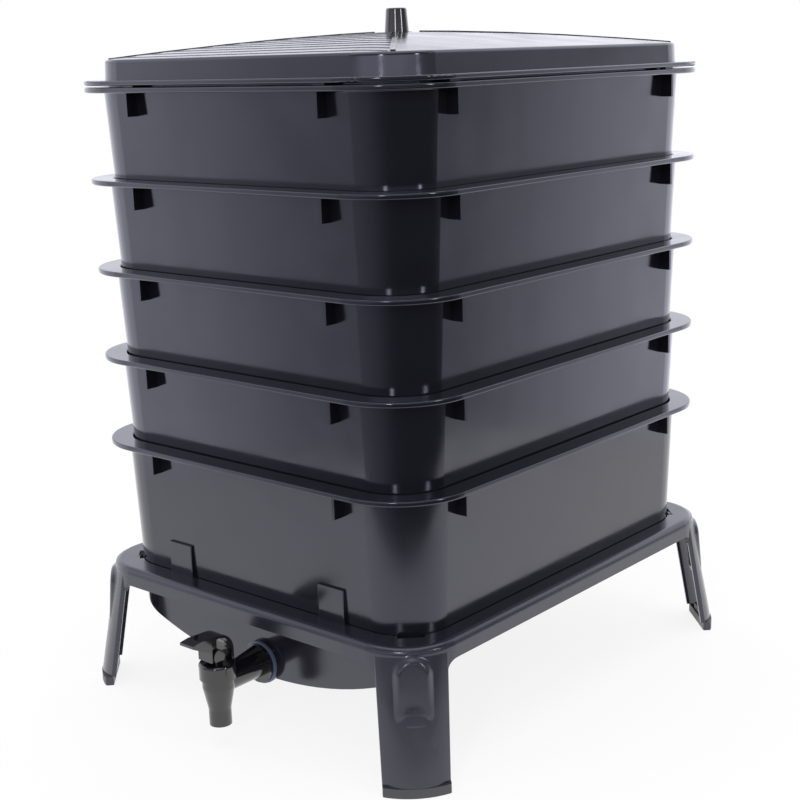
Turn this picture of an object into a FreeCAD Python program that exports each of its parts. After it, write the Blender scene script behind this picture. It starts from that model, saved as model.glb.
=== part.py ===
import FreeCAD, Part
import math
import os
import re

import Sketcher
from FreeCAD import Placement, Rotation, Vector

# A stacking wormery: a stand with four splayed legs, a liquid bin with a trough floor and a tap,
# four nesting trays with holed floors, and a domed lid with a knob.
# Millimetres. The ground is z = 0, the tap is on the front face (-Y). The pieces are drawn about the middle
# of the trays and then placed so that the origin is under the middle of the whole, tap and feet included.

os.makedirs("parts", exist_ok=True)
doc = FreeCAD.newDocument("Wormery")
sheet = doc.addObject("Spreadsheet::Sheet", "Sizes")

# Driving dimensions: name, value, meaning
SIZES = [
    ("rim_width", 390, "left to right over a rim"),
    ("rim_depth", 452, "front to back over a rim"),
    ("rim_radius", 63, "plan radius of a rim corner"),
    ("rim_thick", 4.5, "thickness of a rim"),
    ("rim_overhang", 16.25, "rim beyond the wall"),
    ("rim_round", 1.4, "rounding of the rim edges"),
    ("wall", 3, "moulded wall"),
    ("floor_thick", 3, "tray floor"),
    ("draft", 3, "lean of the tray walls, degrees"),
    ("stack_pitch", 77, "one rim to the next"),
    ("nest_depth", 20, "how far a tray sits inside the one below"),
    ("bin_rim_top", 232, "top of the liquid bin above the ground"),
    ("bin_draft", 2.3, "lean of the bin walls, degrees"),
    ("belly_bottom", 43, "lowest point of the trough above the ground"),
    ("belly_radius", 370, "radius of the trough floor"),
    ("belly_corner", 22, "radius where the trough turns up into the side walls"),
    ("gusset_thick", 2.6, "plates under the rim"),
    ("gusset_drop", 19.5, "height of those plates below the rim"),
    ("gusset_reach", 9.5, "those plates beyond the wall"),
    ("gusset_x", 108.5, "plates on the front and back, from the middle"),
    ("gusset_y", 151, "plates on the sides, from the middle"),
    ("bracket_reach", 12, "stacking brackets, in from the wall"),
    ("bracket_drop", 40, "stacking brackets, height"),
    ("bracket_thick", 3, "stacking brackets, thickness"),
    ("bracket_lip", 6, "stacking brackets, straight inner edge"),
    ("hole_width", 8, "holes in the tray floors"),
    ("hole_pitch", 26, "hole spacing"),
    ("hole_margin", 28, "outermost holes from the wall"),
    ("lug_x", 91, "bin support lugs, from the middle"),
    ("lug_width", 28.5, "bin support lugs"),
    ("lug_height", 29, "bin support lugs"),
    ("lug_bearing", 2.5, "lug resting on the stand ring"),
    ("lug_round", 1, "rounding of the lug edges"),
    ("ring_top", 116, "top of the stand ring above the ground"),
    ("ring_border", 19, "width of the ring at the sides"),
    ("ring_end_border", 21, "width of the ring at the front and back"),
    ("ring_radius", 50, "plan radius of the ring's outer corners"),
    ("ring_gap", 1, "gap between bin and ring"),
    ("ring_height", 16, "height of the ring skirt"),
    ("ring_plate", 4, "thickness of the ring top"),
    ("ring_wall", 3.5, "thickness of the ring skirt"),
    ("ring_round", 6, "rounding of the ring outer edge"),
    ("ring_lip", 2.5, "thickness of the lip round the opening"),
    ("ring_lip_drop", 10, "height of that lip"),
    ("notch_width", 22, "slot at each corner of the opening"),
    ("notch_depth", 4, "depth of that slot"),
    ("leg_width", 58, "chord of a leg at the ring"),
    ("leg_foot_width", 54, "chord of a leg at its lower end"),
    ("leg_foot_radius", 38, "plan radius of a leg at its lower end"),
    ("leg_wall", 3, "thickness of a leg"),
    ("leg_splay", 10, "lean of a leg, degrees"),
    ("leg_flange", 4, "side flange of a leg"),
    ("leg_start", 8, "where the lean starts below the ring top"),
    ("bulge_width", 21, "raised panel at the head of a leg"),
    ("bulge_proud", 4, "how far the panel stands out from the ring corner at its top"),
    ("bulge_lean", 5, "lean of the panel, degrees"),
    ("bulge_drop", 11, "top of the panel below the ring top"),
    ("bulge_height", 52, "height of the panel, its lower part sunk in the leg"),
    ("leg_round", 1.5, "rounding of the long edges of a leg"),
    ("leg_root", 8, "radius where a leg meets the skirt"),
    ("bulge_round", 2, "rounding of the panel edges"),
    ("foot_height", 8, "foot block"),
    ("foot_depth", 13, "foot block, in and out"),
    ("foot_bow", 6, "how far its front bows out"),
    ("foot_proud", 0.3, "foot block beyond the leg"),
    ("foot_tenon", 6, "tenon height inside the leg"),
    ("foot_tenon_width", 26, "tenon width"),
    ("foot_round", 1.5, "rounding of the foot edges"),
    ("fit", 0.2, "clearance of a loose push fit"),
    ("overlap", 1, "how far a cut or a joined block runs past a face"),
    ("lid_gap", 1.5, "air gap under the lid flange"),
    ("lid_flange", 4, "thickness of the lid flange"),
    ("lid_side", 17, "height of the lid side above its flange"),
    ("lid_inset", 18, "lid side inside the rim edge"),
    ("lid_wall", 2.6, "lid wall"),
    ("lid_draft", 3, "lean of the lid side, degrees"),
    ("lid_round", 3, "rounding of the lid shoulder"),
    ("lid_shelf", 3, "flat border of the lid top inside the shoulder"),
    ("dome_rise", 16, "rise of the lid top"),
    ("dome_curve", 1.6, "exponent of the lid top profile"),
    ("hip_width", 4, "raised ribs on the four hips"),
    ("hip_proud", 1.1, "height of those ribs"),
    ("lip_drop", 8, "locating lip under the lid"),
    ("lip_gap", 1.5, "lip inside the tray"),
    ("lip_wall", 2.6, "thickness of the lip"),
    ("pad_length", 12, "rest pads under the lid flange"),
    ("pad_width", 6, "rest pads under the lid flange"),
    ("knob_base", 21.4, "knob diameter at the bottom"),
    ("knob_top", 18, "knob diameter at the top"),
    ("knob_height", 20.5, "knob height"),
    ("knob_round", 1.6, "rounding of the knob top"),
    ("seat_width", 27, "flat round seat under the knob"),
    ("seat_thick", 3.6, "thickness of that seat"),
    ("screw_width", 5, "screw thread diameter"),
    ("screw_length", 14, "screw below its head"),
    ("screw_head", 9.5, "screw head diameter"),
    ("screw_head_high", 3, "screw head height"),
    ("driver_slot", 1.6, "driver slot in the screw head"),
    ("washer_width", 14, "washer diameter"),
    ("washer_thick", 1.2, "washer thickness"),
    ("thread_gap", 0.06, "radial clearance of a screwed fit"),
    ("tap_x", 3, "tap off the middle"),
    ("tap_height", 57, "tap shank above the ground"),
    ("tap_reach", 50, "tap axis in front of the boss"),
    ("boss_width", 38, "tap boss on the bin"),
    ("boss_proud", 3, "tap boss beyond the wall"),
    ("boss_inner", 25, "inner boss diameter"),
    ("boss_inner_length", 6, "inner boss beyond the wall"),
    ("shank_thread", 18, "threaded shank diameter"),
    ("shank_width", 23, "plain shank diameter"),
    ("shank_rib", 5, "thickness of the rib on top of the shank"),
    ("shank_rib_rise", 5, "height of that rib at the flange"),
    ("shank_bore", 11, "bore of the shank"),
    ("flange_width", 34, "tap flange"),
    ("flange_thick", 3, "tap flange"),
    ("gasket_width", 37, "gasket diameter"),
    ("gasket_thick", 2.5, "gasket thickness"),
    ("spout_width", 19.2, "outlet diameter"),
    ("spout_bore", 14, "outlet bore"),
    ("spout_drop", 37.5, "outlet end below the shank"),
    ("spout_straight", 14, "straight part of the outlet"),
    ("tap_belly", 27.4, "tap body diameter at the shank"),
    ("bell_round", 13.4, "rounding between outlet and bell"),
    ("band_low", 4, "lower edge of the wide band above the shank axis"),
    ("band_top", 12, "top of the tap body above the shank axis"),
    ("spigot_width", 21, "threaded spigot of the bonnet"),
    ("spigot_length", 6, "threaded spigot of the bonnet"),
    ("chamber_width", 18, "valve chamber diameter"),
    ("valve_seat", 12, "valve seat below the shank"),
    ("valve_port", 10, "port in the valve seat"),
    ("seat_web", 2, "thickness of the valve seat"),
    ("collar_width", 31.4, "band and bonnet diameter"),
    ("collar_top", 18, "top of the bonnet above the shank"),
    ("collar_round", 2.5, "rounding of the collar's top edge"),
    ("yoke_width", 6, "web of the yoke cheeks"),
    ("cheek_thick", 2.5, "yoke cheeks"),
    ("cheek_width", 12, "yoke cheek disc diameter"),
    ("pivot_height", 25, "lever pivot above the shank"),
    ("pivot_forward", 4, "lever pivot in front of the stem"),
    ("pin_width", 3, "lever pin diameter"),
    ("hub_width", 12, "lever hub diameter"),
    ("hub_length", 10.4, "lever hub, along the pin"),
    ("side_gap", 0.4, "lever hub to yoke cheek"),
    ("lever_width", 16, "lever, side to side"),
    ("lever_length", 27.5, "lever tip in front of the pivot"),
    ("tip_thick", 3.6, "lever tip, up and down"),
    ("tip_rise", 0.8, "paddle higher near its tip than over the pivot"),
    ("crest_height", 18.5, "lever crest above the pivot"),
    ("hood_front", 8.8, "front face of the hood before the pivot"),
    ("hood_back", 16, "back face of the hood behind the pivot"),
    ("hood_radius", 16, "round back of the hood"),
    ("hood_wall", 2.5, "hood, back and roof"),
    ("hood_front_wall", 1.4, "hood, front"),
    ("hood_front_low", 3, "front of the hood reaches below the pivot"),
    ("hood_back_gap", 0.6, "back of the hood above the collar"),
    ("paddle_root", 6, "underside of the paddle above the pivot at the hood"),
    ("web_thick", 5.3, "web from hub to roof"),
    ("slot_width", 5.6, "slot in the hub for the stem"),
    ("crossbar", 2, "lever crossbar diameter"),
    ("stem_width", 4.4, "stem diameter"),
    ("stem_gap", 0.08, "radial clearance of the stem in the bonnet"),
    ("eye_top", 3, "stem eye above the crossbar"),
    ("eye_slot", 0.32, "room beside the crossbar in the eye"),
    ("eye_play", 0.12, "room above and below the crossbar in the eye"),
    ("cup_width", 15, "seat cup diameter"),
    ("cup_height", 6, "seat cup height"),
    ("cup_edge", 2, "straight edge of the seat cup"),
    ("cup_neck", 1.5, "wall of the seat cup round the stem"),
]
for row, (alias, size, meaning) in enumerate(SIZES, start=1):
    sheet.set(f"A{row}", meaning)
    sheet.set(f"B{row}", str(size))
    sheet.setAlias(f"B{row}", alias)
doc.recompute()

ALIASES = {alias for alias, size, meaning in SIZES}


def linked(formula):
    """The formula with each size name pointing at the sheet."""
    return re.sub(r"[a-z][a-z_]*", lambda m: "Sizes." + m[0] if m[0] in ALIASES else m[0], str(formula))


def number(formula):
    """The formula's value now."""
    result = sheet.evalExpression(linked(formula).replace("Sizes.", ""))
    return float(getattr(result, "Value", result))


TOLERANCE = 1e-3  # mm, for picking edges by their place
LEAST_CUT = 0.5  # mm3, less than this and a pocket has cut nothing
CORNER_SHARE = 0.8  # beyond this share of both half sizes a point lies in a corner of an outline

# Sizes that follow from the driving ones

WALL_WIDTH = "(rim_width - 2 * rim_overhang)"
WALL_DEPTH = "(rim_depth - 2 * rim_overhang)"
WALL_RADIUS = "(rim_radius - rim_overhang)"
TRAY_HEIGHT = "(stack_pitch + nest_depth)"
TOP_RIM = "(bin_rim_top + 4 * stack_pitch)"


def lean(height, draft):
    """How far a leaning wall moves over a height."""
    return f"(({height}) * tan({draft}))"


def wall_at(size, below, draft, inset=0):
    """Width of the leaning wall at a distance below the rim, less an inset on both sides."""
    return f"({size} - 2 * {lean(below, draft)} - 2 * ({inset}))"


BIN_AT_RING = wall_at(WALL_WIDTH, "bin_rim_top - ring_top", "bin_draft")
BIN_DEPTH_AT_RING = wall_at(WALL_DEPTH, "bin_rim_top - ring_top", "bin_draft")
OPENING_WIDTH = f"({BIN_AT_RING} + 2 * ring_gap)"
OPENING_DEPTH = f"({BIN_DEPTH_AT_RING} + 2 * ring_gap)"
OPENING_RADIUS = f"({WALL_RADIUS} - {lean('bin_rim_top - ring_top', 'bin_draft')} + ring_gap)"
RING_WIDTH = f"({OPENING_WIDTH} + 2 * ring_border)"
RING_DEPTH = f"({OPENING_DEPTH} + 2 * ring_end_border)"
RING_CORNER = (f"({RING_WIDTH} / 2 - ring_radius)", f"({RING_DEPTH} / 2 - ring_radius)")
OPENING_CORNER = (f"({OPENING_WIDTH} / 2 - {OPENING_RADIUS})", f"({OPENING_DEPTH} / 2 - {OPENING_RADIUS})")
BOSS_FACE = f"({wall_at(WALL_DEPTH, 'bin_rim_top - tap_height', 'bin_draft')} / 2 + boss_proud)"
TAP_Y = f"(-{BOSS_FACE} - tap_reach)"
FLANGE_NEAR = "(tap_reach - gasket_thick - flange_thick)"
TAP_PLACE = ("tap_x", TAP_Y, "tap_height")
PIVOT_PLACE = ("tap_x", f"({TAP_Y} - pivot_forward)", "(tap_height + pivot_height)")
LEG_TOP = "(ring_top - ring_plate / 2)"
LEG_DROP = f"({LEG_TOP} - foot_height)"


def chord_distance(radius, width):
    """How far a chord of a circle lies from the circle's centre."""
    return f"sqrt(({radius})^2 - (({width}) / 2)^2)"


# Distances outwards from the centre of a ring corner, at the lower end of a leg
LEG_LEAN = lean("ring_top - leg_start - foot_height", "leg_splay")
LEG_CHORD_LOW = f"({chord_distance('ring_radius', 'leg_width')} + {LEG_LEAN})"
LEG_CENTRE_LOW = f"({LEG_CHORD_LOW} - {chord_distance('leg_foot_radius', 'leg_foot_width')})"
FOOT_FRONT = f"({LEG_CENTRE_LOW} + leg_foot_radius + foot_proud)"
FOOT_BACK = f"({FOOT_FRONT} - foot_depth)"
FOOT_RADIUS = "((leg_foot_width^2 / 4 + foot_bow^2) / (2 * foot_bow))"
FOOT_CORNER = (f"({FOOT_FRONT} - {FOOT_RADIUS}"
               f" + {chord_distance(f'{FOOT_RADIUS} - foot_round', 'leg_foot_width - 2 * foot_round')})")
BACK_REACH = f"({RING_CORNER[1]} + ({FOOT_CORNER} + leg_foot_width / 2 - foot_round) * cos(45) + foot_round)"
LEVER_REACH = f"(-{PIVOT_PLACE[1]} + lever_length)"
MIDDLE_Y = f"(({LEVER_REACH} - {BACK_REACH}) / 2)"


def place(piece, across, along, up):
    """Puts a piece in the frame: the origin is on the ground, midway between lever tip and back feet."""
    for axis, formula in zip("xyz", (across, f"({along} + {MIDDLE_Y})", up)):
        piece.setExpression(f"Placement.Base.{axis}", linked(formula))


# Sketch and feature helpers

def new_body(label):
    body = doc.addObject("PartDesign::Body", label)
    body.Label = label
    return body


def plane_of(body, role):
    return next(item for item in body.Origin.OriginFeatures if item.Role == role)


def new_sketch(body, role, shift=None, turn=None):
    """A sketch on one of the body's own planes, moved by a formula along the plane's own axes."""
    sketch = body.newObject("Sketcher::SketchObject", body.Label + "_sketch")
    sketch.AttachmentSupport = [(plane_of(body, role), "")]
    sketch.MapMode = "FlatFace"
    if turn is not None:
        sketch.AttachmentOffset = Placement(Vector(0, 0, 0), turn)
    for axis, formula in zip("xyz", shift or ()):
        sketch.setExpression(f"AttachmentOffset.Base.{axis}", linked(formula))
    return sketch


def dimension(sketch, kind, name, formula, *where):
    """A named dimension tied to a formula."""
    index = sketch.addConstraint(Sketcher.Constraint(kind, *where, number(formula)))
    sketch.renameConstraint(index, name)
    sketch.setExpression(f"Constraints.{name}", linked(formula))


def locate(sketch, name, geometry, point, across, up):
    """Ties a point to its distances from the sketch origin."""
    for kind, axis_line, formula in (("DistanceX", -2, across), ("DistanceY", -1, up)):
        if str(formula) == "0":
            sketch.addConstraint(Sketcher.Constraint("PointOnObject", geometry, point, axis_line))
        else:
            dimension(sketch, kind, f"{name}{kind[-1]}", formula, -1, 1, geometry, point)


def draw_rounded_rectangle(sketch, width, depth, radius, tag="outer"):
    x, y, r = number(width) / 2, number(depth) / 2, number(radius)
    first = sketch.GeometryCount
    sides = [((-x + r, -y), (x - r, -y)), ((x, -y + r), (x, y - r)),
             ((x - r, y), (-x + r, y)), ((-x, y - r), (-x, -y + r))]
    centres = [(x - r, -y + r), (x - r, y - r), (-x + r, y - r), (-x + r, -y + r)]
    for side, (start, end) in enumerate(sides):
        sketch.addGeometry(Part.LineSegment(Vector(*start, 0), Vector(*end, 0)))
        circle = Part.Circle(Vector(*centres[side], 0), Vector(0, 0, 1), r)
        angle = -math.pi / 2 + side * math.pi / 2
        sketch.addGeometry(Part.ArcOfCircle(circle, angle, angle + math.pi / 2))
    for side in range(4):
        line, arc, following = first + 2 * side, first + 2 * side + 1, first + (2 * side + 2) % 8
        sketch.addConstraint(Sketcher.Constraint("Tangent", line, 2, arc, 1))
        sketch.addConstraint(Sketcher.Constraint("Tangent", arc, 2, following, 1))
        if side > 1:
            sketch.addConstraint(Sketcher.Constraint("Vertical" if side % 2 else "Horizontal", line))
        if side:
            sketch.addConstraint(Sketcher.Constraint("Equal", first + 1, arc))
    sketch.addConstraint(Sketcher.Constraint("Symmetric", first, 1, first, 2, -2))
    sketch.addConstraint(Sketcher.Constraint("Symmetric", first + 2, 1, first + 2, 2, -1))
    dimension(sketch, "Radius", tag + "Radius", radius, first + 1)
    dimension(sketch, "DistanceX", tag + "Width", width, first + 6, 1, first + 2, 1)
    dimension(sketch, "DistanceY", tag + "Depth", depth, first, 1, first + 4, 1)


def draw_inset(sketch, width, depth, radius, inset, tag="outer"):
    """A rounded rectangle that runs a distance inside another one."""
    draw_rounded_rectangle(
        sketch, f"({width} - 2 * ({inset}))", f"({depth} - 2 * ({inset}))", f"({radius} - ({inset}))", tag)


def draw_polygon(sketch, corners, tag="p"):
    """A closed outline through corners given as pairs of formulas."""
    first = sketch.GeometryCount
    spots = [Vector(number(across), number(up), 0) for across, up in corners]
    count = len(corners)
    for index in range(count):
        sketch.addGeometry(Part.LineSegment(spots[index], spots[(index + 1) % count]))
    for index, (across, up) in enumerate(corners):
        following = first + (index + 1) % count
        sketch.addConstraint(Sketcher.Constraint("Coincident", first + index, 2, following, 1))
    for index, (across, up) in enumerate(corners):
        locate(sketch, f"{tag}{index}", first + index, 1, across, up)


def draw_rectangle(sketch, left, right, low, high, tag="r"):
    draw_polygon(sketch, [(left, low), (right, low), (right, high), (left, high)], tag)


def draw_circle(sketch, diameter, across=0, up=0, tag="c"):
    centre = Vector(number(across), number(up), 0)
    index = sketch.addGeometry(Part.Circle(centre, Vector(0, 0, 1), number(diameter) / 2))
    locate(sketch, tag, index, 3, across, up)
    dimension(sketch, "Diameter", tag + "Size", diameter, index)


def feature(body, kind, sketch, **settings):
    """A feature of the body; text settings that name a formula are tied to the sheet."""
    item = body.newObject("PartDesign::" + kind, body.Label + "_" + kind.lower())
    item.Profile = (sketch, [""])
    for name, setting in settings.items():
        if isinstance(setting, str) and name in ("Length", "Length2", "TaperAngle", "Angle"):
            item.setExpression(name, linked(setting))
        else:
            setattr(item, name, setting)
    sketch.Visibility = False
    return item


def pad(body, sketch, length, **settings):
    return feature(body, "Pad", sketch, Length=length, **settings)


def pocket(body, sketch, length, **settings):
    """A cut; it fails loudly when it removes nothing."""
    doc.recompute()
    before = body.Shape.Volume
    item = feature(body, "Pocket", sketch, Length=length, **settings)
    doc.recompute()
    if body.Shape.Volume > before - LEAST_CUT:
        raise ValueError(f"{body.Label}: a pocket cut nothing")
    return item


def revolve(body, sketch, kind="Revolution"):
    return feature(body, kind, sketch, ReferenceAxis=(sketch, ["V_Axis"]), Angle=360.0)


def mirror_about(body, originals, roles):
    """Copies features across the body's own planes."""
    multi = body.newObject("PartDesign::MultiTransform", body.Label + "_copies")
    multi.Originals = originals
    steps = []
    for role in roles:
        step = body.newObject("PartDesign::Mirrored", body.Label + "_mirror")
        step.MirrorPlane = (plane_of(body, role), [""])
        steps.append(step)
    multi.Transformations = steps
    body.Tip = multi
    doc.recompute()
    return multi


def all_round(body, originals):
    return mirror_about(body, originals, ("YZ_Plane", "XZ_Plane"))


def fillet(body, radius, chosen):
    """Rounds the edges that the test picks."""
    doc.recompute()
    base = body.Tip
    names = [f"Edge{i}" for i, edge in enumerate(base.Shape.Edges, start=1) if chosen(edge)]
    if not names:
        raise ValueError(f"{body.Label}: no edge to round")
    item = body.newObject("PartDesign::Fillet", body.Label + "_fillet")
    item.Base = (base, names)
    item.setExpression("Radius", linked(radius))
    doc.recompute()
    return item


def lies_at(edge, height):
    box = edge.BoundBox
    return abs(box.ZMin - height) < TOLERANCE and abs(box.ZMax - height) < TOLERANCE


def on_outline(edge, width, depth):
    """True for an edge that runs along the outline of a plan width by depth."""
    spot = edge.valueAt((edge.FirstParameter + edge.LastParameter) / 2)
    half_x, half_y = width / 2, depth / 2
    near_side = abs(abs(spot.x) - half_x) < TOLERANCE or abs(abs(spot.y) - half_y) < TOLERANCE
    in_corner = abs(spot.x) > half_x * CORNER_SHARE and abs(spot.y) > half_y * CORNER_SHARE
    return near_side or (in_corner and edge.Curve.TypeId == "Part::GeomCircle")


# Parts of a nesting tub that trays and bin share

def add_rim(body, rim_top):
    sketch = new_sketch(body, "XY_Plane", ("0", "0", rim_top))
    draw_rounded_rectangle(sketch, "rim_width", "rim_depth", "rim_radius", "rim")
    draw_inset(sketch, WALL_WIDTH, WALL_DEPTH, WALL_RADIUS, "wall", "mouth")
    return pad(body, sketch, "rim_thick", Reversed=True)


# the XZ plane's own normal points to -Y
SIDE_PLATES = (("XZ_Plane", WALL_WIDTH, "(-gusset_y)"), ("YZ_Plane", WALL_DEPTH, "gusset_x"))


def add_gussets(body, rim_top, draft):
    """Eight upright plates under the rim: their inner edge is sunk in the wall."""
    under = f"({rim_top} - rim_thick)"
    made = []
    for role, wall_size, along in SIDE_PLATES:
        outer = f"({wall_size} / 2 + gusset_reach)"
        sunk = f"({wall_size} / 2 - wall / 2 - {lean('rim_thick', draft)})"
        sketch = new_sketch(body, role, ("0", "0", along))
        draw_rectangle(sketch, sunk, outer, f"({under} - gusset_drop)", f"({under} + rim_thick / 2)")
        made.append(pad(body, sketch, "gusset_thick", Midplane=True))
    return all_round(body, made)


def add_brackets(body, rim_top, draft):
    """Eight inner brackets that carry the floor of the tray above."""
    top = f"({rim_top} - nest_depth)"
    made = []
    for role, wall_size, along in SIDE_PLATES:
        at_top = f"({wall_size} / 2 - wall / 2 - {lean('nest_depth', draft)})"
        at_foot = f"({wall_size} / 2 - wall / 2 - {lean('nest_depth + bracket_drop', draft)})"
        sketch = new_sketch(body, role, ("0", "0", along))
        draw_polygon(sketch, [
            (at_top, top), (f"({at_top} - wall / 2 - bracket_reach)", top),
            (f"({at_top} - wall / 2 - bracket_reach)", f"({top} - bracket_lip)"),
            (at_foot, f"({top} - bracket_drop)"),
        ])
        made.append(pad(body, sketch, "bracket_thick", Midplane=True))
    return all_round(body, made)


def leaning_tub(body, rim_top, drop, draft, inset, add=True):
    """The leaning block of a tub below its rim top, or its hollow, drawn at the rim and made downwards."""
    sketch = new_sketch(body, "XY_Plane", ("0", "0", rim_top))
    draw_inset(sketch, WALL_WIDTH, WALL_DEPTH, WALL_RADIUS, inset)
    if add:
        return pad(body, sketch, drop, Reversed=True, TaperAngle=f"-{draft}")
    return pocket(body, sketch, drop, TaperAngle=f"-{draft}")


def round_rim(body, rim_top):
    width, depth, top = number("rim_width"), number("rim_depth"), number(rim_top)
    thick = number("rim_thick")
    fillet(body, "rim_round", lambda edge: on_outline(edge, width, depth) and (
        lies_at(edge, top) or lies_at(edge, top - thick)))


# Trays

def build_trays():
    """Four equal trays, tray_1 on top."""
    pattern = build_tray("tray_1")
    trays = [pattern]
    for number_down in (2, 3, 4):
        tray = new_body(f"tray_{number_down}")
        same = doc.addObject("PartDesign::FeatureBase", f"tray_{number_down}_same")
        same.BaseFeature = pattern
        tray.Group = [same]
        tray.Tip = same
        trays.append(tray)
    for number_down, tray in enumerate(trays, start=1):
        place(tray, "0", "0", f"({TOP_RIM} - {number_down - 1} * stack_pitch - {TRAY_HEIGHT})")
    doc.recompute()
    return trays


def build_tray(label):
    """A tray: leaning walls, a holed floor, a wide rim with plates under it, and inner brackets."""
    tray = new_body(label)
    leaning_tub(tray, TRAY_HEIGHT, TRAY_HEIGHT, "draft", 0)
    leaning_tub(tray, TRAY_HEIGHT, f"{TRAY_HEIGHT} - floor_thick", "draft", "wall", add=False)
    add_floor_holes(tray)
    add_rim(tray, TRAY_HEIGHT)
    add_gussets(tray, TRAY_HEIGHT, "draft")
    add_brackets(tray, TRAY_HEIGHT, "draft")
    round_rim(tray, TRAY_HEIGHT)
    return tray


def add_floor_holes(tray):
    room_x = wall_at(WALL_WIDTH, TRAY_HEIGHT, "draft", "wall + hole_margin")
    room_y = wall_at(WALL_DEPTH, TRAY_HEIGHT, "draft", "wall + hole_margin")
    gaps_x = f"floor({room_x} / hole_pitch)"
    gaps_y = f"floor({room_y} / hole_pitch)"
    sketch = new_sketch(tray, "XY_Plane")
    draw_circle(sketch, "hole_width", f"(-{gaps_x} * hole_pitch / 2)", f"(-{gaps_y} * hole_pitch / 2)")
    hole = pocket(tray, sketch, "floor_thick + overlap", Reversed=True)
    multi = tray.newObject("PartDesign::MultiTransform", tray.Label + "_holes")
    multi.Originals = [hole]
    steps = []
    for axis, gaps in (("H_Axis", gaps_x), ("V_Axis", gaps_y)):
        step = tray.newObject("PartDesign::LinearPattern", tray.Label + "_row")
        step.Direction = (sketch, [axis])
        step.setExpression("Length", linked(f"{gaps} * hole_pitch"))
        step.setExpression("Occurrences", linked(f"{gaps} + 1"))
        steps.append(step)
    multi.Transformations = steps
    tray.Tip = multi
    doc.recompute()


# Liquid bin

def belly_outline(sketch, inset):
    """The space under the trough: a shallow arc, turned up at both ends, closed well below it."""
    radius = f"(belly_radius - ({inset}))"
    corner = f"(belly_corner - ({inset}))"
    low = f"(belly_bottom + ({inset}))"
    half = f"({wall_at(WALL_WIDTH, 'bin_rim_top - belly_bottom - belly_corner', 'bin_draft', inset)} / 2)"
    below = "(belly_bottom - 2 * belly_corner)"
    big, small, half_now, low_now = number(radius), number(corner), number(half), number(low)
    # the small arc touches the big one inside and has its outermost point on the wall
    reach = math.sqrt((big - small) ** 2 - (half_now - small) ** 2)
    big_centre = Vector(0, low_now + big, 0)
    touch_angle = math.atan2(-reach, half_now - small)
    small_centre = [Vector(side * (half_now - small), big_centre.y - reach, 0) for side in (-1, 1)]
    trough = sketch.addGeometry(Part.ArcOfCircle(
        Part.Circle(big_centre, Vector(0, 0, 1), big), math.pi - touch_angle - 2 * math.pi, touch_angle))
    left = sketch.addGeometry(Part.ArcOfCircle(
        Part.Circle(small_centre[0], Vector(0, 0, 1), small), math.pi, math.pi - touch_angle))
    right = sketch.addGeometry(Part.ArcOfCircle(
        Part.Circle(small_centre[1], Vector(0, 0, 1), small), touch_angle, 0))
    past = number("rim_width")
    floor = number(below)
    turn_up = small_centre[1].y
    corners = [Vector(half_now, turn_up, 0), Vector(past, turn_up, 0), Vector(past, floor, 0),
               Vector(-past, floor, 0), Vector(-past, turn_up, 0), Vector(-half_now, turn_up, 0)]
    first = sketch.GeometryCount
    for start, end in zip(corners, corners[1:]):
        sketch.addGeometry(Part.LineSegment(start, end))
    last = first + 4
    for joint in ((left, 2, trough, 1), (trough, 2, right, 1)):
        sketch.addConstraint(Sketcher.Constraint("Tangent", *joint))
    sketch.addConstraint(Sketcher.Constraint("Coincident", right, 2, first, 1))
    sketch.addConstraint(Sketcher.Constraint("Coincident", last, 2, left, 1))
    for index in range(first, last):
        sketch.addConstraint(Sketcher.Constraint("Coincident", index, 2, index + 1, 1))
    for index in range(first, last + 1):
        kind = "Vertical" if (index - first) % 2 else "Horizontal"
        sketch.addConstraint(Sketcher.Constraint(kind, index))
    sketch.addConstraint(Sketcher.Constraint("Equal", left, right))
    sketch.addConstraint(Sketcher.Constraint("PointOnObject", trough, 3, -2))
    sketch.addConstraint(Sketcher.Constraint("Symmetric", first + 1, 1, last, 1, -2))
    dimension(sketch, "Radius", "trough", radius, trough)
    dimension(sketch, "Radius", "corner", corner, right)
    dimension(sketch, "DistanceY", "troughCentre", f"({low} + {radius})", -1, 1, trough, 3)
    dimension(sketch, "DistanceX", "rightReach", half, -1, 1, first, 1)
    dimension(sketch, "DistanceX", "leftReach", f"(-{half})", -1, 1, left, 1)
    dimension(sketch, "DistanceX", "past", "rim_width", -1, 1, first + 1, 1)
    dimension(sketch, "DistanceY", "below", below, -1, 1, first + 2, 1)
    dimension(sketch, "DistanceY", "turnUp", turn_up_height(inset), -1, 1, first, 1)


def turn_up_height(inset):
    """Where the trough has turned upright: the small arc's centre, from the two touching circles."""
    half = f"({wall_at(WALL_WIDTH, 'bin_rim_top - belly_bottom - belly_corner', 'bin_draft', inset)} / 2)"
    gap = "(belly_radius - belly_corner)"
    reach = f"sqrt({gap}^2 - ({half} - belly_corner + ({inset}))^2)"
    return f"(belly_bottom + belly_radius - {reach})"


def trough_block(body, inset):
    """A leaning block whose underside is the trough."""
    leaning_tub(body, "bin_rim_top", "bin_rim_top - belly_bottom", "bin_draft", inset)
    sketch = new_sketch(body, "XZ_Plane")
    belly_outline(sketch, inset)
    pocket(body, sketch, "2 * rim_depth", Midplane=True)


def build_bin():
    """The bottom tub: trough floor, tap boss, four lugs that rest on the stand."""
    tub = new_body("base_bin")
    trough_block(tub, "0")
    hollow = new_body("bin_hollow")
    trough_block(hollow, "wall")
    doc.recompute()
    cut = tub.newObject("PartDesign::Boolean", "base_bin_hollowed")
    cut.Type = 1
    cut.setObjects([hollow])
    doc.recompute()
    add_rim(tub, "bin_rim_top")
    add_gussets(tub, "bin_rim_top", "bin_draft")
    add_brackets(tub, "bin_rim_top", "bin_draft")
    add_lugs(tub)
    add_tap_boss(tub)
    round_rim(tub, "bin_rim_top")
    place(tub, "0", "0", "0")
    return tub


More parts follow.
